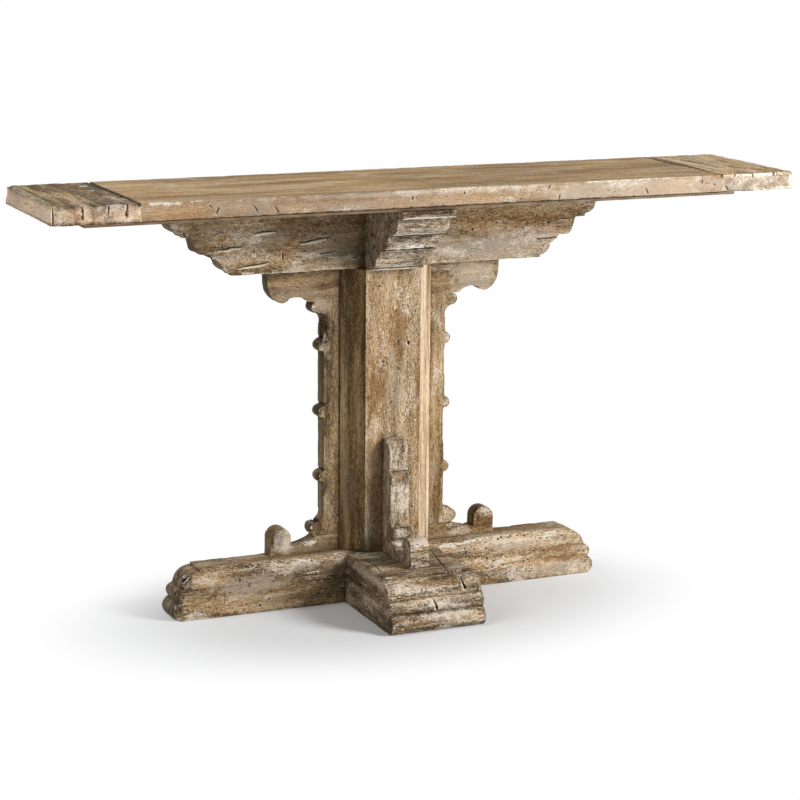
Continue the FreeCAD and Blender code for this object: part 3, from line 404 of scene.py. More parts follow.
def remeshed(node):
    """An even mesh of small faces over a node's solid, with its edges kept."""
    mesh = NODES[node].data.copy()
    form = bmesh.new()
    form.from_mesh(mesh)
    bmesh.ops.remove_doubles(form, verts=form.verts, dist=SAME_POINT)
    form.to_mesh(mesh)
    form.free()
    holder = linked(node + "_even", mesh)
    cell = WEAR[PIECES[node][1]][0] * MM
    place = read(mesh.vertices, "co")
    longest = float((place.max(0) - place.min(0)).max())
    depth = max(LEAST_OCTREE, math.ceil(math.log2(longest / (cell * OCTREE_SHARE))))
    even = holder.modifiers.new("even", "REMESH")
    even.mode = "SHARP"
    even.octree_depth = depth
    even.scale = longest / (2 ** depth * cell)
    even.sharpness = 1.0
    even.use_remove_disconnected = False
    graph = bpy.context.evaluated_depsgraph_get()
    fine = bpy.data.meshes.new_from_object(holder.evaluated_get(graph))
    bpy.data.objects.remove(holder)
    bpy.data.meshes.remove(mesh)
    fine.materials.clear()
    return fine


def off_line(place, begin, end):
    """A straight line's run, how far along it each point lies, from 0 to 1, and the way from it."""
    run = end - begin
    t = np.clip(((place - begin) @ run) / max(run @ run, TINY), 0, 1)
    return run, t, place - begin - t[:, None] * run


CRACK_STEP, CRACK_SWAY = 7 * MM, 0.12
CRACK_REACH, REFINED_REACH = 8 * MM, 4 * MM
FACING = 0.25
TAPER = 0.8
LEAST_SWELL = 0.05


class Crack:
    """A jagged line on one face of a piece."""

    def __init__(self, face, width, depth, lip, taper, line, rng):
        self.axis, self.sign = face
        self.flat = [axis for axis in (X, Y, Z) if axis != self.axis]
        self.half = width / 2 * MM
        self.depth = depth * MM
        self.lip = lip
        self.taper = taper
        points = []
        for begin, end in zip(line[:-1], line[1:]):
            begin, end = np.array(begin) * MM, np.array(end) * MM
            count = max(2, int(np.linalg.norm(end - begin) / CRACK_STEP))
            points += [begin + (end - begin) * k / count for k in range(count)]
        points.append(np.array(line[-1]) * MM)
        points = np.array(points)
        sway = rng.uniform(-CRACK_SWAY, CRACK_SWAY, points.shape) * width * MM
        sway[0] = 0
        self.points = points + sway

    def measure(self, place):
        """Distance to the line in its half widths, and the side on which each point lies."""
        flat = place[:, self.flat]
        best = np.full(len(flat), np.inf)
        side = np.zeros(len(flat))
        spans = len(self.points) - 1
        for k in range(spans):
            run, t, away = off_line(flat, self.points[k], self.points[k + 1])
            s = (k + t) / spans
            swell = np.sqrt(np.clip(4 * s * (1 - s), LEAST_SWELL, 1))
            width = 1 - TAPER * s if self.taper else swell
            gap = np.linalg.norm(away, axis=1) / (self.half * width)
            nearer = gap < best
            best[nearer] = gap[nearer]
            turn = run[0] * away[nearer, 1] - run[1] * away[nearer, 0]
            side[nearer] = turn / max(np.linalg.norm(run), TINY)
        return best, side

    def close(self, place, out):
        """The points near the line's own box whose outward way is the face's."""
        flat = place[:, self.flat]
        low, high = self.points.min(0) - CRACK_REACH, self.points.max(0) + CRACK_REACH
        near = np.nonzero(np.all((flat > low) & (flat < high), axis=1))[0]
        return near[out[near][:, self.axis] * self.sign > FACING]


# Small gouges picked at random, in millimetres.
MINOR_PICKS, MINOR_LIP, MINOR_LEAN = 7, 0.3, 0.12
MINOR_HALVES, MINOR_WIDTHS, MINOR_DEPTHS = (9, 24), (2.2, 3.4), (1.2, 2.4)
SQUARE_ON = 0.9


def minor_cracks(node, mesh, rng):
    """A few small gouges along the grain at places picked over the piece's sides, top and back."""
    grain = PIECES[node][0]
    place, normal = surface_of(mesh)
    found = []
    for index in rng.choice(len(place), MINOR_PICKS, replace=False):
        axis = int(np.argmax(np.abs(normal[index])))
        face = (axis, 1 if normal[index][axis] > 0 else -1)
        if axis == grain or face == FRONT or abs(normal[index][axis]) < SQUARE_ON:
            continue
        flat = [a for a in (X, Y, Z) if a != axis]
        run = np.array([1.0 if a == grain else rng.uniform(-MINOR_LEAN, MINOR_LEAN) for a in flat])
        middle, half = place[index][flat] / MM, rng.uniform(*MINOR_HALVES)
        line = (tuple(middle - run * half), tuple(middle + run * half))
        width, depth = rng.uniform(*MINOR_WIDTHS), rng.uniform(*MINOR_DEPTHS)
        found.append(Crack(face, width, depth, MINOR_LIP, 0, line, rng))
    return found


def refine(mesh, cracks):
    """Smaller faces beside a piece's cracks."""
    place, normal = surface_of(mesh)
    chosen = np.zeros(len(place), bool)
    for crack in cracks:
        near = crack.close(place, normal)
        if len(near):
            gap = crack.measure(place[near])[0] * crack.half
            chosen[near[gap < crack.half + REFINED_REACH]] = True
    if not chosen.any():
        return
    form = bmesh.new()
    form.from_mesh(mesh)
    form.verts.ensure_lookup_table()
    edges = [e for e in form.edges if chosen[e.verts[0].index] and chosen[e.verts[1].index]]
    bmesh.ops.subdivide_edges(form, edges=edges, cuts=2, use_grid_fill=True)
    form.to_mesh(mesh)
    form.free()


def tree_of(node):
    """A search tree over a node's solid."""
    mesh = NODES[node].data
    points = [v.co.copy() for v in mesh.vertices]
    return BVHTree.FromPolygons(points, [tuple(p.vertices) for p in mesh.polygons])


def gaps_to_others(node, place):
    """How far each point is from the nearest other solid, up to NEAR."""
    gaps = np.full(len(place), NEAR)
    for other, tree in trees.items():
        if other == node:
            continue
        low, high = boxes[other]
        close = np.all((place > low - NEAR) & (place < high + NEAR), axis=1)
        for index in np.nonzero(close)[0]:
            found = tree.find_nearest(place[index], gaps[index])
            if found[3] is not None:
                gaps[index] = min(gaps[index], found[3])
    return gaps


def point_areas(mesh):
    """The share of the surface that belongs to each point."""
    totals = read(mesh.polygons, "loop_total", 1).astype(int).ravel()
    areas = read(mesh.polygons, "area", 1).ravel()
    corners = np.empty(len(mesh.loops), np.int32)
    mesh.loops.foreach_get("vertex_index", corners)
    return np.bincount(corners, weights=np.repeat(areas / totals, totals), minlength=len(mesh.vertices))


CELL_BITS = 20
NEIGHBOUR_WEIGHT = 0.6
STEPS = (-1, 0, 1)


def packed(x, y, z):
    """One whole number for a cell of the grid, or for a step between cells."""
    return (x << 2 * CELL_BITS) + (y << CELL_BITS) + z


def window_sums(cells, sums):
    """Sums over each cell and its neighbours, by point."""
    names, where = np.unique(packed(*cells.T), return_inverse=True)
    by_cell = np.zeros((len(names), sums.shape[1]))
    for column in range(sums.shape[1]):
        by_cell[:, column] = np.bincount(where, weights=sums[:, column], minlength=len(names))
    total = np.zeros_like(by_cell)
    for step in ((dx, dy, dz) for dx in STEPS for dy in STEPS for dz in STEPS):
        weight = NEIGHBOUR_WEIGHT ** sum(map(abs, step))
        wanted = names + packed(*step)
        at = np.clip(np.searchsorted(names, wanted), 0, len(names) - 1)
        hit = names[at] == wanted
        total[hit] += weight * by_cell[at[hit]]
    return total[where]


def spread(values, edges, rounds):
    """Values evened out along the mesh."""
    count = np.bincount(edges.ravel(), minlength=len(values)).astype(float)
    count[count == 0] = 1
    for _ in range(rounds):
        near = np.bincount(edges[:, 0], weights=values[edges[:, 1]], minlength=len(values))
        near += np.bincount(edges[:, 1], weights=values[edges[:, 0]], minlength=len(values))
        values = 0.5 * values + 0.5 * near / count
    return values


def along(grain, lengthways, across):
    """Frequencies per axis: slow along the grain and quick across it."""
    frequency = [across] * 3
    frequency[grain] = lengthways
    return frequency


CRACK_SEED, MINOR_SEED = 700, 940
meshes = {node: remeshed(node) for node in PIECES}
cracks = {node: [] for node in PIECES}
for number, (names, *form_of_crack) in enumerate(CRACKS):
    crack = Crack(*form_of_crack, np.random.default_rng(CRACK_SEED + number))
    for node in names:
        cracks[node].append(crack)
for number, (node, mesh) in enumerate(meshes.items()):
    cracks[node] += minor_cracks(node, mesh, np.random.default_rng(MINOR_SEED + number))
    refine(mesh, cracks[node])

trees = {node: tree_of(node) for node in NODES if node not in STEEL}
boxes = {node: [np.array(corner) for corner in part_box(node)] for node in trees}
points = {node: read(mesh.vertices, "co") for node, mesh in meshes.items()}
normals = {node: read(mesh.vertex_normals, "vector") for node, mesh in meshes.items()}
gaps = {node: gaps_to_others(node, points[node]) for node in meshes}

# The whole table's own outside near each point: its direction, and how it bends there.
all_points = np.concatenate(list(points.values()))
all_normals = np.concatenate(list(normals.values()))
shown = (np.concatenate(list(gaps.values())) > TOUCHING).astype(float)
shown *= np.concatenate([point_areas(mesh) for mesh in meshes.values()]) / USUAL_CELL ** 2
GRID_CORNER = 2.0
LEAST_SHOWN, LEAST_AGREEMENT = 0.5, 0.2


def outside(cell):
    """Whether each point shows, the outward way around it, and how far the outside bends there."""
    window = window_sums(
        np.floor((all_points + GRID_CORNER) / cell).astype(np.int64),
        np.column_stack([shown, all_points * shown[:, None], all_normals * shown[:, None]]),
    )
    share, place, way = window[:, 0], window[:, 1:4], window[:, 4:7]
    open_air = share > LEAST_SHOWN
    way = way / np.maximum(np.linalg.norm(way, axis=1), TINY)[:, None]
    strange = ~open_air | (np.sum(way * all_normals, axis=1) < LEAST_AGREEMENT)
    way[strange] = all_normals[strange]
    middle = place / np.maximum(share, TINY)[:, None]
    return open_air, way, np.where(open_air, np.sum((middle - all_points) * way, axis=1), 0)


seen, outward, bend = outside(EDGE_WINDOW)
nook = outside(NOOK_WINDOW)[2]

# Noise fields of the wear: frequency per metre, along and across the grain where there are two, then
# seed and octaves.
WEAR_NOISE = {
    "patchy": (24, 5, 2),
    "chips": (62, 11, 2),
    "waves": ((4, 13), 17, 2),
    "furrows": ((7, 95), 23, 2),
    "dents": ((18, 34), 29, 2),
    "rubbed": (40, 41, 3),
    "scalloped": (70, 47, 2),
    "ragged": (75, 53, 3),
}
CHIPPED, FURROWED, DENTED = (0.56, 0.74), (0.35, 0.8), (0.6, 0.8)
EDGE_POWER = 1.3
CALM_SHARE, CALM_GAP = 0.3, (0.5 * MM, 10 * MM)
RAGGEDNESS, PATCH_RIM = 1.1, (0.6, 1.05)
DARK_GAIN = 2.6
LIP_START, LIP_RIM, LIP_END = 0.1, 0.4, 1.5


def wear_field(name, place, grain):
    """One of the wear's noise fields at a piece's points."""
    frequency, seed, octaves = WEAR_NOISE[name]
    if isinstance(frequency, tuple):
        frequency = along(grain, *frequency)
    return noise(place, frequency, seed, octaves)


def worn_depth(node, place, convex, hollow, visible, gap):
    """How far each point is worn inwards: edges, chips, waves, furrows, dents and scallops."""
    grain, look, _ = PIECES[node]
    _, edge_mm, chip_mm, wave_mm, furrow_mm, dent_mm = WEAR[look]

    def field(name):
        return wear_field(name, place, grain)

    edge = edge_mm * convex ** EDGE_POWER * (0.3 + 1.2 * field("patchy"))
    edge += chip_mm * ramp(field("chips"), *CHIPPED) * convex
    face = wave_mm * field("waves") + furrow_mm * ramp(field("furrows"), *FURROWED)
    face += dent_mm * ramp(field("dents"), *DENTED)
    calm = CALM_SHARE + (1 - CALM_SHARE) * ramp(gap, *CALM_GAP)
    depth = (edge + face * calm) * visible * (1 - hollow) * MM
    for name, line, reach, deep_mm in SCALLOPS:
        if name == node:
            away = off_line(place, *np.array(line) * MM)[2]
            share = np.clip(1 - (np.linalg.norm(away, axis=1) / (reach * MM)) ** 2, 0, 1)
            depth += share * visible * deep_mm * MM * (0.8 + 0.4 * field("scalloped"))
    return depth


def cut_cracks(node, place, out, visible, depth):
    """Adds a piece's cracks to its depth, and returns their dark insides of painted shade and dirt and their
    pale lips of painted highlight.
    """
    deep, lip = np.zeros(len(place)), np.zeros(len(place))
    for crack in cracks[node]:
        near = crack.close(place, out)
        if len(near) == 0:
            continue
        off, side = crack.measure(place[near])
        groove = np.clip(1 - off, 0, 1)
        depth[near] += crack.depth * groove * visible[near]
        pale = np.clip(LIP_START - np.sign(crack.lip) * side / (0.5 * crack.half), 0, 1) * abs(crack.lip)
        deep[near] = np.maximum(deep[near], np.clip(groove * DARK_GAIN, 0, 1) * (1 - pale))
        lip[near] = np.maximum(lip[near], pale * np.clip((LIP_END - off) / LIP_RIM, 0, 1))
    return deep, lip


def patch_covers(place, grain):
    """How far each kind of patch covers each point, with ragged rims."""
    ragged = RAGGEDNESS * (wear_field("ragged", place, grain) - 0.5)
    covers = {}
    for kind, patches in PATCHES.items():
        covers[kind] = np.zeros(len(place))
        for centre, reach in patches:
            away = np.linalg.norm((place / MM - centre) / reach, axis=1)
            covers[kind] = np.maximum(covers[kind], 1 - ramp(away + ragged, *PATCH_RIM))
    return covers


def wear_piece(node, place, out, curve, broad_curve, visible, gap, edges):
    """Moves a piece's points inwards and returns them with what its material needs."""
    grain, look, _ = PIECES[node]
    curve = spread(curve, edges, EDGE_ROUNDS) / EDGE_BEND
    convex, hollow = np.clip(-curve, 0, 1), np.clip(curve, 0, 1)
    depth = worn_depth(node, place, convex, hollow, visible, gap)
    deep, lip = cut_cracks(node, place, out, visible, depth)
    other = 1 - np.abs(out[:, Z]) if look in END_LOOKS else -out[:, Y]
    marks = {
        "wear": np.clip(convex * (0.35 + 1.1 * wear_field("rubbed", place, grain)), 0, 1) * visible,
        "hollow": hollow,
        "nook": np.clip(spread(broad_curve, edges, NOOK_ROUNDS) / NOOK_BEND, 0, 1) * visible,
        "deep": deep,
        "lip": lip,
        "other_face": np.clip(other * 3 - 1.5, 0, 1),
        # Side faces: for the painted shade on them, less lime and turned grain.
        "side": np.clip(np.abs(out[:, X]) * 3 - 1.2, 0, 1),
    }
    marks.update(patch_covers(place, grain))
    return place - out * depth[:, None], marks


def worn_object(node, mesh, moved, marks):
    """A piece with its worn points and its marks."""
    mesh.vertices.foreach_set("co", moved.astype(np.float32).ravel())
    for name, values in marks.items():
        layer = mesh.attributes.new(name, "FLOAT", "POINT")
        layer.data.foreach_set("value", values.astype(np.float32))
    mesh.shade_smooth()
    mesh.set_sharp_from_angle(angle=SHARP_ANGLE)
    mesh.update()
    return linked(node + "_worn", mesh)


wood_pieces = {}
start = 0
for node, mesh in meshes.items():
    own = slice(start, start + len(points[node]))
    start = own.stop
    links = np.empty(len(mesh.edges) * 2, np.int32)
    mesh.edges.foreach_get("vertices", links)
    moved, marks = wear_piece(node, points[node], outward[own], bend[own], nook[own],
                              seen[own].astype(float), gaps[node], links.reshape(-1, 2))
    wood_pieces[node] = worn_object(node, mesh, moved, marks)


class Nodes:
    """Short calls for the node tree of a material or of the world."""

    def __init__(self, owner):
        owner.use_nodes = True
        self.owner = owner
        self.tree = owner.node_tree
        self.tree.nodes.clear()

    def add(self, kind, inputs=(), **settings):
        node = self.tree.nodes.new("ShaderNode" + kind)
        for key, value in settings.items():
            setattr(node, key, value)
        for key, value in dict(inputs).items():
            if isinstance(value, bpy.types.NodeSocket):
                self.tree.links.new(value, node.inputs[key])
            else:
                node.inputs[key].default_value = value
        return node

    def math(self, operation, a, b=0.0, clamp=False):
        return self.add("Math", {0: a, 1: b}, operation=operation, use_clamp=clamp).outputs[0]

    def times(self, a, b):
        return self.math("MULTIPLY", a, b)

    def total(self, *terms):
        """The sum of values times weights."""
        parts = [self.times(value, weight) for value, weight in terms]
        result = parts[0]
        for part in parts[1:]:
            result = self.math("ADD", result, part)
        return result

    def scaled(self, vector, frequency):
        return self.add("VectorMath", {0: vector, 1: frequency}, operation="MULTIPLY").outputs[0]

    def shifted(self, vector, step):
        return self.add("VectorMath", {0: vector, 1: step}, operation="ADD").outputs[0]

    def noise(self, vector, detail, roughness=0.55):
        inputs = {"Vector": vector, "Scale": 1.0, "Detail": detail, "Roughness": roughness}
        return self.add("TexNoise", inputs).outputs["Fac"]

    def step(self, value, low, high):
        """0 below low, 1 above high, smooth between."""
        made = self.add("MapRange", {"Value": value, "From Min": low, "From Max": high},
                        interpolation_type="SMOOTHSTEP")
        return made.outputs["Result"]

    def colours(self, value, stops):
        made = self.add("ValToRGB", {"Fac": value})
        stop_list = made.color_ramp.elements
        while len(stop_list) < len(stops):
            stop_list.new(0.5)
        for stop, (place, colour) in zip(stop_list, stops):
            stop.position = place
            stop.color = (*colour, 1)
        return made.outputs["Color"]

    def mix(self, share, a, b, blend="MIX"):
        """One colour over another; a plain colour gets its alpha here."""
        a, b = (c if isinstance(c, bpy.types.NodeSocket) else (*c, 1) for c in (a, b))
        return self.add("Mix", {0: share, 6: a, 7: b}, data_type="RGBA", blend_type=blend).outputs[2]

    def mark(self, name):
        return self.add("Attribute", attribute_name=name).outputs["Fac"]

    def surface(self, colour, roughness, height, relief, specular=0.25):
        bump = self.add("Bump", {"Strength": 1.0, "Distance": relief, "Height": height})
        shader = self.add("BsdfPrincipled", {
            "Base Color": colour, "Roughness": roughness, "Normal": bump.outputs["Normal"],
        })
        shader.inputs["Specular IOR Level"].default_value = specular
        self.add("OutputMaterial", {"Surface": shader.outputs["BSDF"]})


# Looks: four tones from dark to pale, the strength of each of the look's parts, the streaks' frequencies,
# and the shares of streaks, fibres and speckles in the tone. Edge is the lime on edges, mood the slow
# shift from dark to light, and side the painted shade on side faces.
LOOK_PARTS = ("lime", "edge", "brown", "amber", "grey", "mood", "specks", "ticks", "side")
TOP_TONES = ((0.16, 0.096, 0.038), (0.335, 0.222, 0.105), (0.465, 0.327, 0.174), (0.64, 0.486, 0.31))
LOOKS = {
    "top": (
        TOP_TONES, (0.2, 0.5, 0.4, 0.4, 0.2, 0.2, 0.2, 0.3, 0.0), (2, 26), (0.42, 0.24, 0.18)),
    "top_edge": (
        TOP_TONES, (0.1, 0.6, 0.35, 0.3, 0.25, 0.2, 0.4, 0.4, 0.0), (2, 26), (0.42, 0.22, 0.26)),
    "end": (
        ((0.04, 0.025, 0.01), (0.12, 0.076, 0.032), (0.23, 0.155, 0.075), (0.46, 0.345, 0.215)),
        (0.15, 0.8, 0.35, 0.45, 0.05, 0.2, 0.6, 0.6, 0.0), (6, 55), (0.62, 0.3, 0.2)),
    "lit_end": (
        ((0.15, 0.096, 0.045), (0.39, 0.265, 0.135), (0.64, 0.465, 0.27), (0.88, 0.71, 0.5)),
        (0.3, 0.8, 0.4, 0.25, 0.2, 0.2, 0.5, 0.5, 0.0), (6, 55), (0.56, 0.28, 0.2)),
    "corbel": (
        ((0.095, 0.058, 0.023), (0.22, 0.145, 0.07), (0.355, 0.252, 0.14), (0.525, 0.41, 0.275)),
        (0.2, 0.6, 0.4, 0.25, 0.25, 0.25, 0.6, 0.6, 0.2), (5, 36), (0.42, 0.3, 0.32)),
    "limed": (
        ((0.075, 0.053, 0.029), (0.225, 0.163, 0.1), (0.42, 0.33, 0.23), (0.65, 0.56, 0.45)),
        (0.5, 0.9, 0.45, 0.15, 0.35, 0.2, 0.8, 1.0, 0.1), (8, 60), (0.5, 0.34, 0.32)),
    "stave": (
        ((0.14, 0.085, 0.038), (0.28, 0.188, 0.1), (0.4, 0.294, 0.177), (0.55, 0.444, 0.318)),
        (0.25, 0.15, 0.45, 0.25, 0.3, 0.15, 0.85, 0.8, 0.0), (4, 45), (0.38, 0.26, 0.36)),
    "dark_stave": (
        ((0.073, 0.045, 0.018), (0.168, 0.109, 0.049), (0.27, 0.185, 0.09), (0.41, 0.302, 0.17)),
        (0.0, 0.1, 0.5, 0.5, 0.1, 0.2, 0.3, 0.5, 0.0), (2, 45), (0.66, 0.28, 0.26)),
    "pale_stave": (
        ((0.2, 0.126, 0.065), (0.39, 0.275, 0.165), (0.52, 0.398, 0.275), (0.68, 0.568, 0.45)),
        (0.3, 0.7, 0.25, 0.25, 0.1, 0.1, 0.2, 0.25, 0.0), (3, 80), (0.5, 0.26, 0.12)),
    "bracket": (
        ((0.078, 0.048, 0.02), (0.178, 0.119, 0.058), (0.27, 0.195, 0.109), (0.4, 0.317, 0.211)),
        (0.2, 0.4, 0.4, 0.35, 0.25, 0.2, 0.5, 0.6, 0.1), (4, 55), (0.48, 0.26, 0.28)),
    "dark_bracket": (
        ((0.068, 0.043, 0.019), (0.16, 0.107, 0.053), (0.26, 0.183, 0.101), (0.4, 0.307, 0.2)),
        (0.05, 0.1, 0.35, 0.3, 0.25, 0.2, 0.5, 0.6, 0.0), (4, 55), (0.48, 0.26, 0.3)),
    "base": (
        ((0.105, 0.066, 0.03), (0.25, 0.169, 0.088), (0.38, 0.28, 0.168), (0.56, 0.455, 0.33)),
        (0.3, 0.5, 0.38, 0.12, 0.35, 0.25, 0.8, 0.7, 0.9), (5, 36), (0.5, 0.3, 0.32)),
    "foot": (
        ((0.05, 0.032, 0.014), (0.14, 0.095, 0.05), (0.265, 0.194, 0.118), (0.52, 0.43, 0.325)),
        (0.32, 0.6, 0.5, 0.2, 0.3, 0.3, 0.9, 0.9, 0.1), (7, 44), (0.54, 0.32, 0.32)),
}
# Tones of a board's edges, or of the front of the top's edge.
OTHER_TONES = {
    "top_edge": ((0.155, 0.095, 0.05), (0.255, 0.168, 0.095), (0.325, 0.222, 0.135), (0.43, 0.315, 0.205)),
    "end": ((0.32, 0.215, 0.13), (0.545, 0.387, 0.257), (0.67, 0.508, 0.363), (0.80, 0.675, 0.55)),
    "lit_end": ((0.155, 0.101, 0.06), (0.25, 0.18, 0.122), (0.325, 0.25, 0.184), (0.45, 0.378, 0.31)),
}
# Looks with the grain along the side faces too.
TURNED_LOOKS = ("foot",)
TONE_STOPS = (0.40, 0.47, 0.53, 0.605)
PALE_LIME = (0.52, 0.445, 0.35)
LIME = (0.62, 0.54, 0.445)
CHALK = (0.68, 0.63, 0.555)
# Crack lips get a painted highlight, and crack insides and level lines the black of painted shade and dirt,
# shared with the black specks.
LIP_HIGHLIGHT = (0.95, 0.87, 0.72)
BLACK_SPECKS_AND_SHADE = (0.022, 0.016, 0.010)
UMBER = (0.075, 0.05, 0.028)
# SHADE is multiplied in for painted shade, with dirt, in hollows and corners.
SHADE = (0.34, 0.26, 0.17)
# Multiplied in for painted shade on side faces and under the dark patches.
SIDE_SHADE_AND_DARK = (0.42, 0.44, 0.44)

# Tints in the order they are laid: the noise's range, the strength of a patch, colour and blend.
TINTS = {
    "brown": (0.46, 0.66, 0.75, (0.55, 0.39, 0.23), "MULTIPLY"),
    "amber": (0.42, 0.64, 0.55, (1.02, 0.85, 0.60), "MULTIPLY"),
    "grey": (0.52, 0.66, 0.28, (0.33, 0.30, 0.25), "MIX"),
}
# The wood's noise fields: shift, frequencies along and across the grain, detail and roughness.
WOOD_NOISE = {
    "speckle": ((0, 0, 0), (230, 360), 1, 0.6),
    "mood": ((2.2, 6.6, 8.8), (5, 17), 3, 0.6),
    "brown": ((0, 0, 0), (6, 22), 4, 0.6),
    "amber": ((6.4, 9.1, 0.7), (4, 24), 4, 0.6),
    "grey": ((3.1, 1.7, 5.3), (6, 20), 4, 0.65),
    "crust": ((7.7, 2.9, 0.4), (14, 32), 4, 0.6),
    "tick": ((1.3, 8.2, 4.6), (85, 300), 1, 0.5),
    "speck": ((5.9, 0.8, 2.2), (180, 250), 1, 0.5),
    "crowd": ((0, 0, 0), (18, 34), 2, 0.5),
}
BOW_FREQUENCY, BOW_REACH = (2.5, 5), (0.0, 0.05)
FIBRE_FREQUENCY = (75, 380)
# What thickens or thins the lime, beside its own noise.
LIME_WEIGHTS = {"wear": 0.16, "lime": 0.11, "side": -0.25, "brown": -0.1, "amber": -0.08}
SPECKLE_WEIGHT, FIBRE_WEIGHT = 0.25, 0.2
DARK_SHARE, VEIL_SHARE, DIRT_AND_SHADE_SHARE, CHALK_SHARE = 0.8, 0.3, 0.75, 0.9
WOOD_RELIEF, WOOD_GLOSS = 0.7 * MM, 0.12


class Wood(Nodes):
    """The material of one limed and worn piece, with its grain along one axis."""

    def __init__(self, name, grain, look, seed):
        super().__init__(bpy.data.materials.new(name))
        self.grain, self.look = grain, look
        self.tones, strengths, streak, self.shares = LOOKS[look]
        self.strength = dict(zip(LOOK_PARTS, strengths))
        self.side = self.mark("side")
        rng = np.random.default_rng(seed)
        self.place = self.shifted(self.own_place(), tuple(rng.uniform(-9, 9, 3)))
        bow = self.add("TexNoise", {"Vector": self.stretched(self.place, BOW_FREQUENCY),
                                    "Scale": 1.0, "Detail": 1.0})
        bow = self.shifted(bow.outputs["Color"], (-0.5, -0.5, -0.5))
        lay = self.shifted(self.place, self.stretched(bow, BOW_REACH))
        self.streak = self.noise(self.stretched(lay, streak), 4, 0.58)
        self.fibre = self.noise(self.stretched(lay, FIBRE_FREQUENCY), 2, 0.6)
        self.speckle = self.field("speckle")

    def own_place(self):
        """The place on the piece, turned on side faces where the look asks for it."""
        place = self.add("TexCoord").outputs["Object"]
        if self.look not in TURNED_LOOKS:
            return place
        x, y, z = self.add("SeparateXYZ", {0: place}).outputs
        turned = self.add("CombineXYZ", {0: y, 1: x, 2: z}).outputs[0]
        return self.add("Mix", {0: self.side, 4: place, 5: turned}, data_type="VECTOR").outputs[1]

    def stretched(self, place, frequencies):
        return self.scaled(place, along(self.grain, *frequencies))

    def field(self, name):
        shift, frequencies, detail, roughness = WOOD_NOISE[name]
        return self.noise(self.stretched(self.shifted(self.place, shift), frequencies), detail, roughness)

    def bare(self):
        """The wood's own colour, lighter and darker in slow drifts."""
        tone = self.total(*zip((self.streak, self.fibre, self.speckle), self.shares))
        tone = self.math("ADD", tone, 0.5 * (1 - sum(self.shares)))
        colour = self.colours(tone, list(zip(TONE_STOPS, self.tones)))
        if self.look in OTHER_TONES:
            others = self.colours(tone, list(zip(TONE_STOPS, OTHER_TONES[self.look])))
            colour = self.mix(self.mark("other_face"), colour, others)
        mood = self.strength["mood"]
        shift = self.add("MapRange", {"Value": self.field("mood"), "From Min": 0.35, "From Max": 0.65,
                                      "To Min": 1 - mood, "To Max": 1 + mood}).outputs["Result"]
        return self.add("VectorMath", {0: colour, "Scale": shift}, operation="SCALE").outputs[0]

    def tinted(self, colour):
        """Stains, grey drifts, painted shade on side faces and under dark patches, and thin veils of lime,
        in places painted light, over a colour.
        """
        for kind, (low, high, patch, tint, blend) in TINTS.items():
            drift = self.times(self.step(self.field(kind), low, high), self.strength[kind])
            share = self.math("MAXIMUM", drift, self.times(self.mark(kind), patch))
            colour = self.mix(share, colour, tint, blend)
        # Painted shade on side faces and under the dark patches.
        shaded = self.math("MAXIMUM", self.times(self.side, self.strength["side"]),
                           self.times(self.mark("dark"), DARK_SHARE))
        colour = self.mix(shaded, colour, SIDE_SHADE_AND_DARK, "MULTIPLY")
        return self.mix(self.times(self.mark("veil"), VEIL_SHARE), colour, LIME)

    def lime(self):
        """How thick the lime is."""
        weights = dict(LIME_WEIGHTS, wear=LIME_WEIGHTS["wear"] * self.strength["edge"])
        level = self.total(
            (self.field("crust"), 1.0), *((self.mark(name), weight) for name, weight in weights.items()),
            (self.math("SUBTRACT", self.speckle, 0.5), SPECKLE_WEIGHT),
            (self.math("SUBTRACT", self.fibre, 0.5), FIBRE_WEIGHT))
        start = 0.64 - 0.14 * self.strength["lime"]
        cover = self.step(level, start - 0.08, start + 0.13)
        return self.times(cover, min(0.8, 6 * self.strength["lime"]))

    def chalk(self):
        """Crumbling white on the white patches, some of which are painted highlights."""
        white = self.mark("white")
        ragged = self.total((self.speckle, 1.2), (self.fibre, 1.2), (white, 0.6))
        cover = self.times(self.step(ragged, 1.52, 1.75), self.step(white, 0.0, 0.2))
        return self.times(cover, CHALK_SHARE)

    def ticks(self):
        """Short dark strokes along the grain."""
        return self.times(self.step(self.field("tick"), 0.61, 0.72), 0.75 * self.strength["ticks"])

    def specks(self):
        """Black specks, in crowds."""
        crowd = self.step(self.field("crowd"), 0.45, 0.68)
        start = 0.82 - 0.11 * self.strength["specks"]
        return self.step(self.total((self.field("speck"), 1.0), (crowd, 0.12)), start, start + 0.05)

    def dirt_and_shade(self):
        """Dirt and painted shade in hollows and corners."""
        hollow = self.times(self.mark("hollow"), DIRT_AND_SHADE_SHARE)
        return self.math("MAXIMUM", hollow, self.times(self.mark("nook"), DIRT_AND_SHADE_SHARE))


def wood(name, grain, look, seed):
    """Limed and worn wood."""
    made = Wood(name, grain, look, seed)
    lime, ticks, specks = made.lime(), made.ticks(), made.specks()
    pale = made.mix(made.step(made.speckle, 0.36, 0.6), PALE_LIME, LIME)
    colour = made.mix(lime, made.tinted(made.bare()), pale)
    colour = made.mix(made.chalk(), colour, CHALK)
    colour = made.mix(ticks, colour, UMBER)
    # Painted shade and dirt in hollows and corners.
    colour = made.mix(made.dirt_and_shade(), colour, SHADE, "MULTIPLY")
    # Painted highlight on crack lips, then black specks and the painted shade in cracks.
    colour = made.mix(made.mark("lip"), colour, LIP_HIGHLIGHT)
    colour = made.mix(made.math("MAXIMUM", specks, made.mark("deep")), colour, BLACK_SPECKS_AND_SHADE)
    height = made.total((made.streak, 0.6), (made.fibre, 0.5), (made.speckle, 0.35),
                        (lime, 0.3), (ticks, -0.4), (specks, -0.8))
    roughness = made.math("ADD", made.total((lime, 0.12), (made.streak, 0.3)), 0.55)
    made.surface(colour, roughness, height, WOOD_RELIEF, WOOD_GLOSS)
    return made.owner


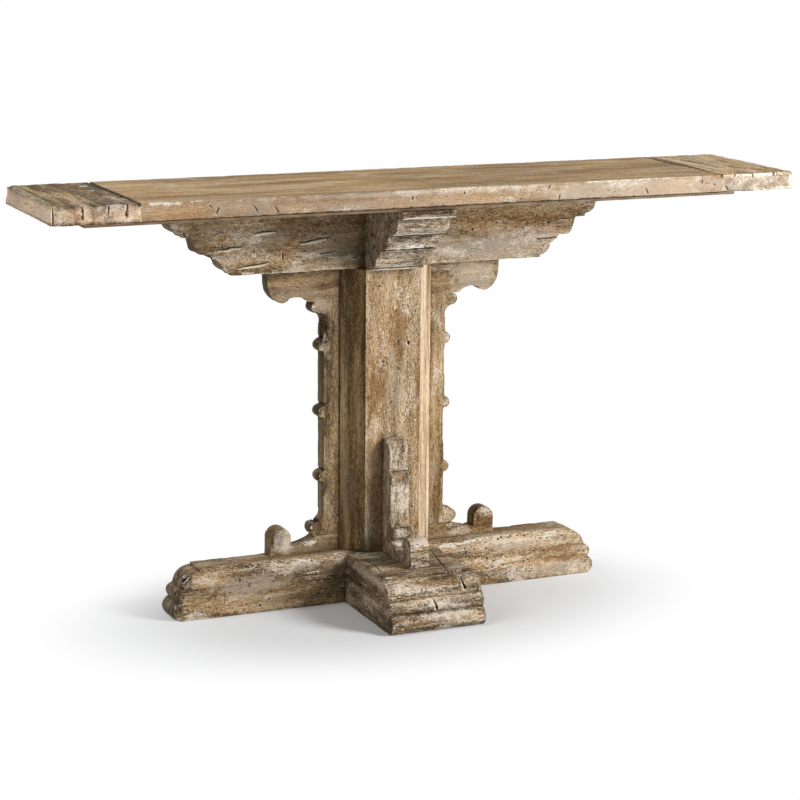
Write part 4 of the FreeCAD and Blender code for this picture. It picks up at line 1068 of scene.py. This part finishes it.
def bare_wood(name, tones):
    """Unfinished inner wood."""
    made = Nodes(bpy.data.materials.new(name))
    place = made.add("TexCoord").outputs["Object"]
    streak = made.noise(made.scaled(place, (30, 160, 160)), 5, 0.6)
    fibre = made.noise(made.scaled(place, (300, 500, 500)), 2, 0.6)
    colour = made.colours(streak, list(zip((0.35, 0.6), tones)))
    darker = made.times(made.step(fibre, 0.5, 0.3), 0.4)
    colour = made.mix(darker, colour, (0.5, 0.4, 0.3), "MULTIPLY")
    made.surface(colour, made.math("ADD", made.times(streak, 0.3), 0.5), fibre, 0.4 * MM)
    return made.owner


def zinc_steel(name):
    """Plated steel with fine turning marks."""
    made = Nodes(bpy.data.materials.new(name))
    place = made.add("TexCoord").outputs["Object"]
    lines = made.noise(made.scaled(place, (300, 300, 2200)), 3, 0.6)
    spots = made.noise(made.scaled(place, (420, 420, 420)), 3, 0.6)
    colour = made.colours(spots, [(0.35, (0.40, 0.40, 0.41)), (0.65, (0.62, 0.62, 0.62))])
    made.surface(colour, made.math("ADD", made.times(lines, 0.25), 0.25), lines, 0.1 * MM)
    made.tree.nodes["Principled BSDF"].inputs["Metallic"].default_value = 1.0
    return made.owner


def dress(nodes, material):
    """Puts one material on nodes that keep their CAD mesh."""
    for node in nodes:
        slots = NODES[node].data.materials
        slots.clear()
        slots.append(material)


WOOD_SEED = 101
for index, (node, piece) in enumerate(wood_pieces.items()):
    grain, look, slot = PIECES[node]
    piece.data.materials.append(wood(node + "_wood", grain, look, WOOD_SEED + index))
    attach(piece, "root")
    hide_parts(node)
dress(INNER_WOOD, bare_wood("inner_wood", ((0.42, 0.29, 0.17), (0.62, 0.47, 0.31))))
dress(PLAIN_WOOD, bare_wood("sub_top_wood", ((0.22, 0.15, 0.08), (0.40, 0.29, 0.18))))
dress(STEEL, zinc_steel("zinc_steel"))

# The photograph's camera: its angles around the target, and its distance and lens.
AZIMUTH, PITCH, ROLL = 0.4108, 0.2194, 0.0080
DISTANCE, FOCAL_PIXELS, IMAGE_PIXELS, SENSOR = 4.8933, 2363.76, 800, 36.0
TARGET = Vector((-0.0231, 0, 0.4559))
# Lights: the way to each from the aim, then its distance, size and power.
LIGHTS = {
    "key": ((0.66, -0.64, 0.39), 4.0, 1.3, 165),
    "low_front": ((0.68, -0.73, 0.06), 3.8, 1.6, 70),
    "overhead": ((-0.72, -0.05, 0.68), 3.2, 2.2, 60),
}
LIGHT_AIM = Vector((0, 0, 0.5))
GLOW = 0.1
WHITE = (1, 1, 1, 1)
WHITE_TO_VIEW = ("Is Camera Ray", "Is Glossy Ray", "Is Transmission Ray")
FLOOR_HALF, FLOOR_CELLS = 14, 24
FLOOR_PAINT = (0.72, 0.73, 0.745, 1)
FLOOR_LIFT = 0.01
FADE_SCALE, FADE_SHIFT, FADE_RANGE = (1.0, 1.6, 0), (0.05, -0.08, 0), (0.3, 0.78)


def photo_camera():
    """The camera at the photograph's place."""
    level = math.cos(PITCH)
    back = Vector((-math.sin(AZIMUTH) * level, -math.cos(AZIMUTH) * level, math.sin(PITCH)))
    right = (-back).cross(Vector((0, 0, 1))).normalized()
    up = right.cross(-back)
    cosine, sine = math.cos(ROLL), math.sin(ROLL)
    right, up = right * cosine + up * sine, up * cosine - right * sine
    lens = bpy.data.cameras.new("camera")
    lens.sensor_width = SENSOR
    lens.lens = SENSOR * FOCAL_PIXELS / IMAGE_PIXELS
    camera = linked("camera", lens)
    turn = Matrix((right, up, back)).transposed().to_4x4()
    camera.matrix_world = Matrix.Translation(TARGET + back * DISTANCE) @ turn
    scene.camera = camera


def area_light(name, towards, distance, size, power):
    """A round lamp that shines on the table."""
    lamp = bpy.data.lights.new(name, "AREA")
    lamp.shape = "DISK"
    lamp.size = size
    lamp.energy = power
    light = linked(name, lamp)
    way = Vector(towards).normalized()
    light.location = LIGHT_AIM + way * distance
    light.rotation_euler = way.to_track_quat("Z", "Y").to_euler()


def seen_rays(made):
    """1 for the rays that show what they hit, and 0 for the rays that only light it."""
    path = made.add("LightPath")
    share = path.outputs[WHITE_TO_VIEW[0]]
    for name in WHITE_TO_VIEW[1:]:
        share = made.math("MAXIMUM", share, path.outputs[name])
    return share


def studio_world():
    """A faint glow all around that looks white."""
    world = bpy.data.worlds.new("studio")
    scene.world = world
    made = Nodes(world)
    glow = made.add("Background", {"Color": WHITE, "Strength": GLOW})
    white = made.add("Background", {"Color": WHITE, "Strength": 1.0})
    either = made.add("MixShader", {0: seen_rays(made), 1: glow.outputs[0], 2: white.outputs[0]})
    made.add("OutputWorld", {"Surface": either.outputs[0]})


def pale_floor():
    """Floor paint that keeps the shadows near the base and fades to white further out."""
    made = Nodes(bpy.data.materials.new("pale_floor"))
    spot = made.add("TexCoord").outputs["Object"]
    near_base = made.shifted(made.scaled(spot, FADE_SCALE), FADE_SHIFT)
    reach = made.add("VectorMath", {0: near_base}, operation="LENGTH").outputs["Value"]
    far_share = made.step(reach, *FADE_RANGE)
    paint = made.add("BsdfDiffuse", {"Color": FLOOR_PAINT})
    lift = made.add("Emission", {"Color": WHITE, "Strength": FLOOR_LIFT})
    lifted = made.add("AddShader", {0: paint.outputs[0], 1: lift.outputs[0]})
    blank = made.add("Emission", {"Color": WHITE, "Strength": 1.0})
    viewed = made.add("MixShader", {0: far_share, 1: lifted.outputs[0], 2: blank.outputs[0]})
    chosen = made.add("MixShader", {0: seen_rays(made), 1: paint.outputs[0], 2: viewed.outputs[0]})
    made.add("OutputMaterial", {"Surface": chosen.outputs[0]})
    return made.owner


photo_camera()
for name, light in LIGHTS.items():
    area_light(name, *light)
studio_world()
form = bmesh.new()
bmesh.ops.create_grid(form, x_segments=FLOOR_CELLS, y_segments=FLOOR_CELLS, size=FLOOR_HALF)
ground = bpy.data.meshes.new("floor")
form.to_mesh(ground)
form.free()
floor = linked("floor", ground)
ground.materials.append(pale_floor())
scene.view_settings.view_transform = "Standard"
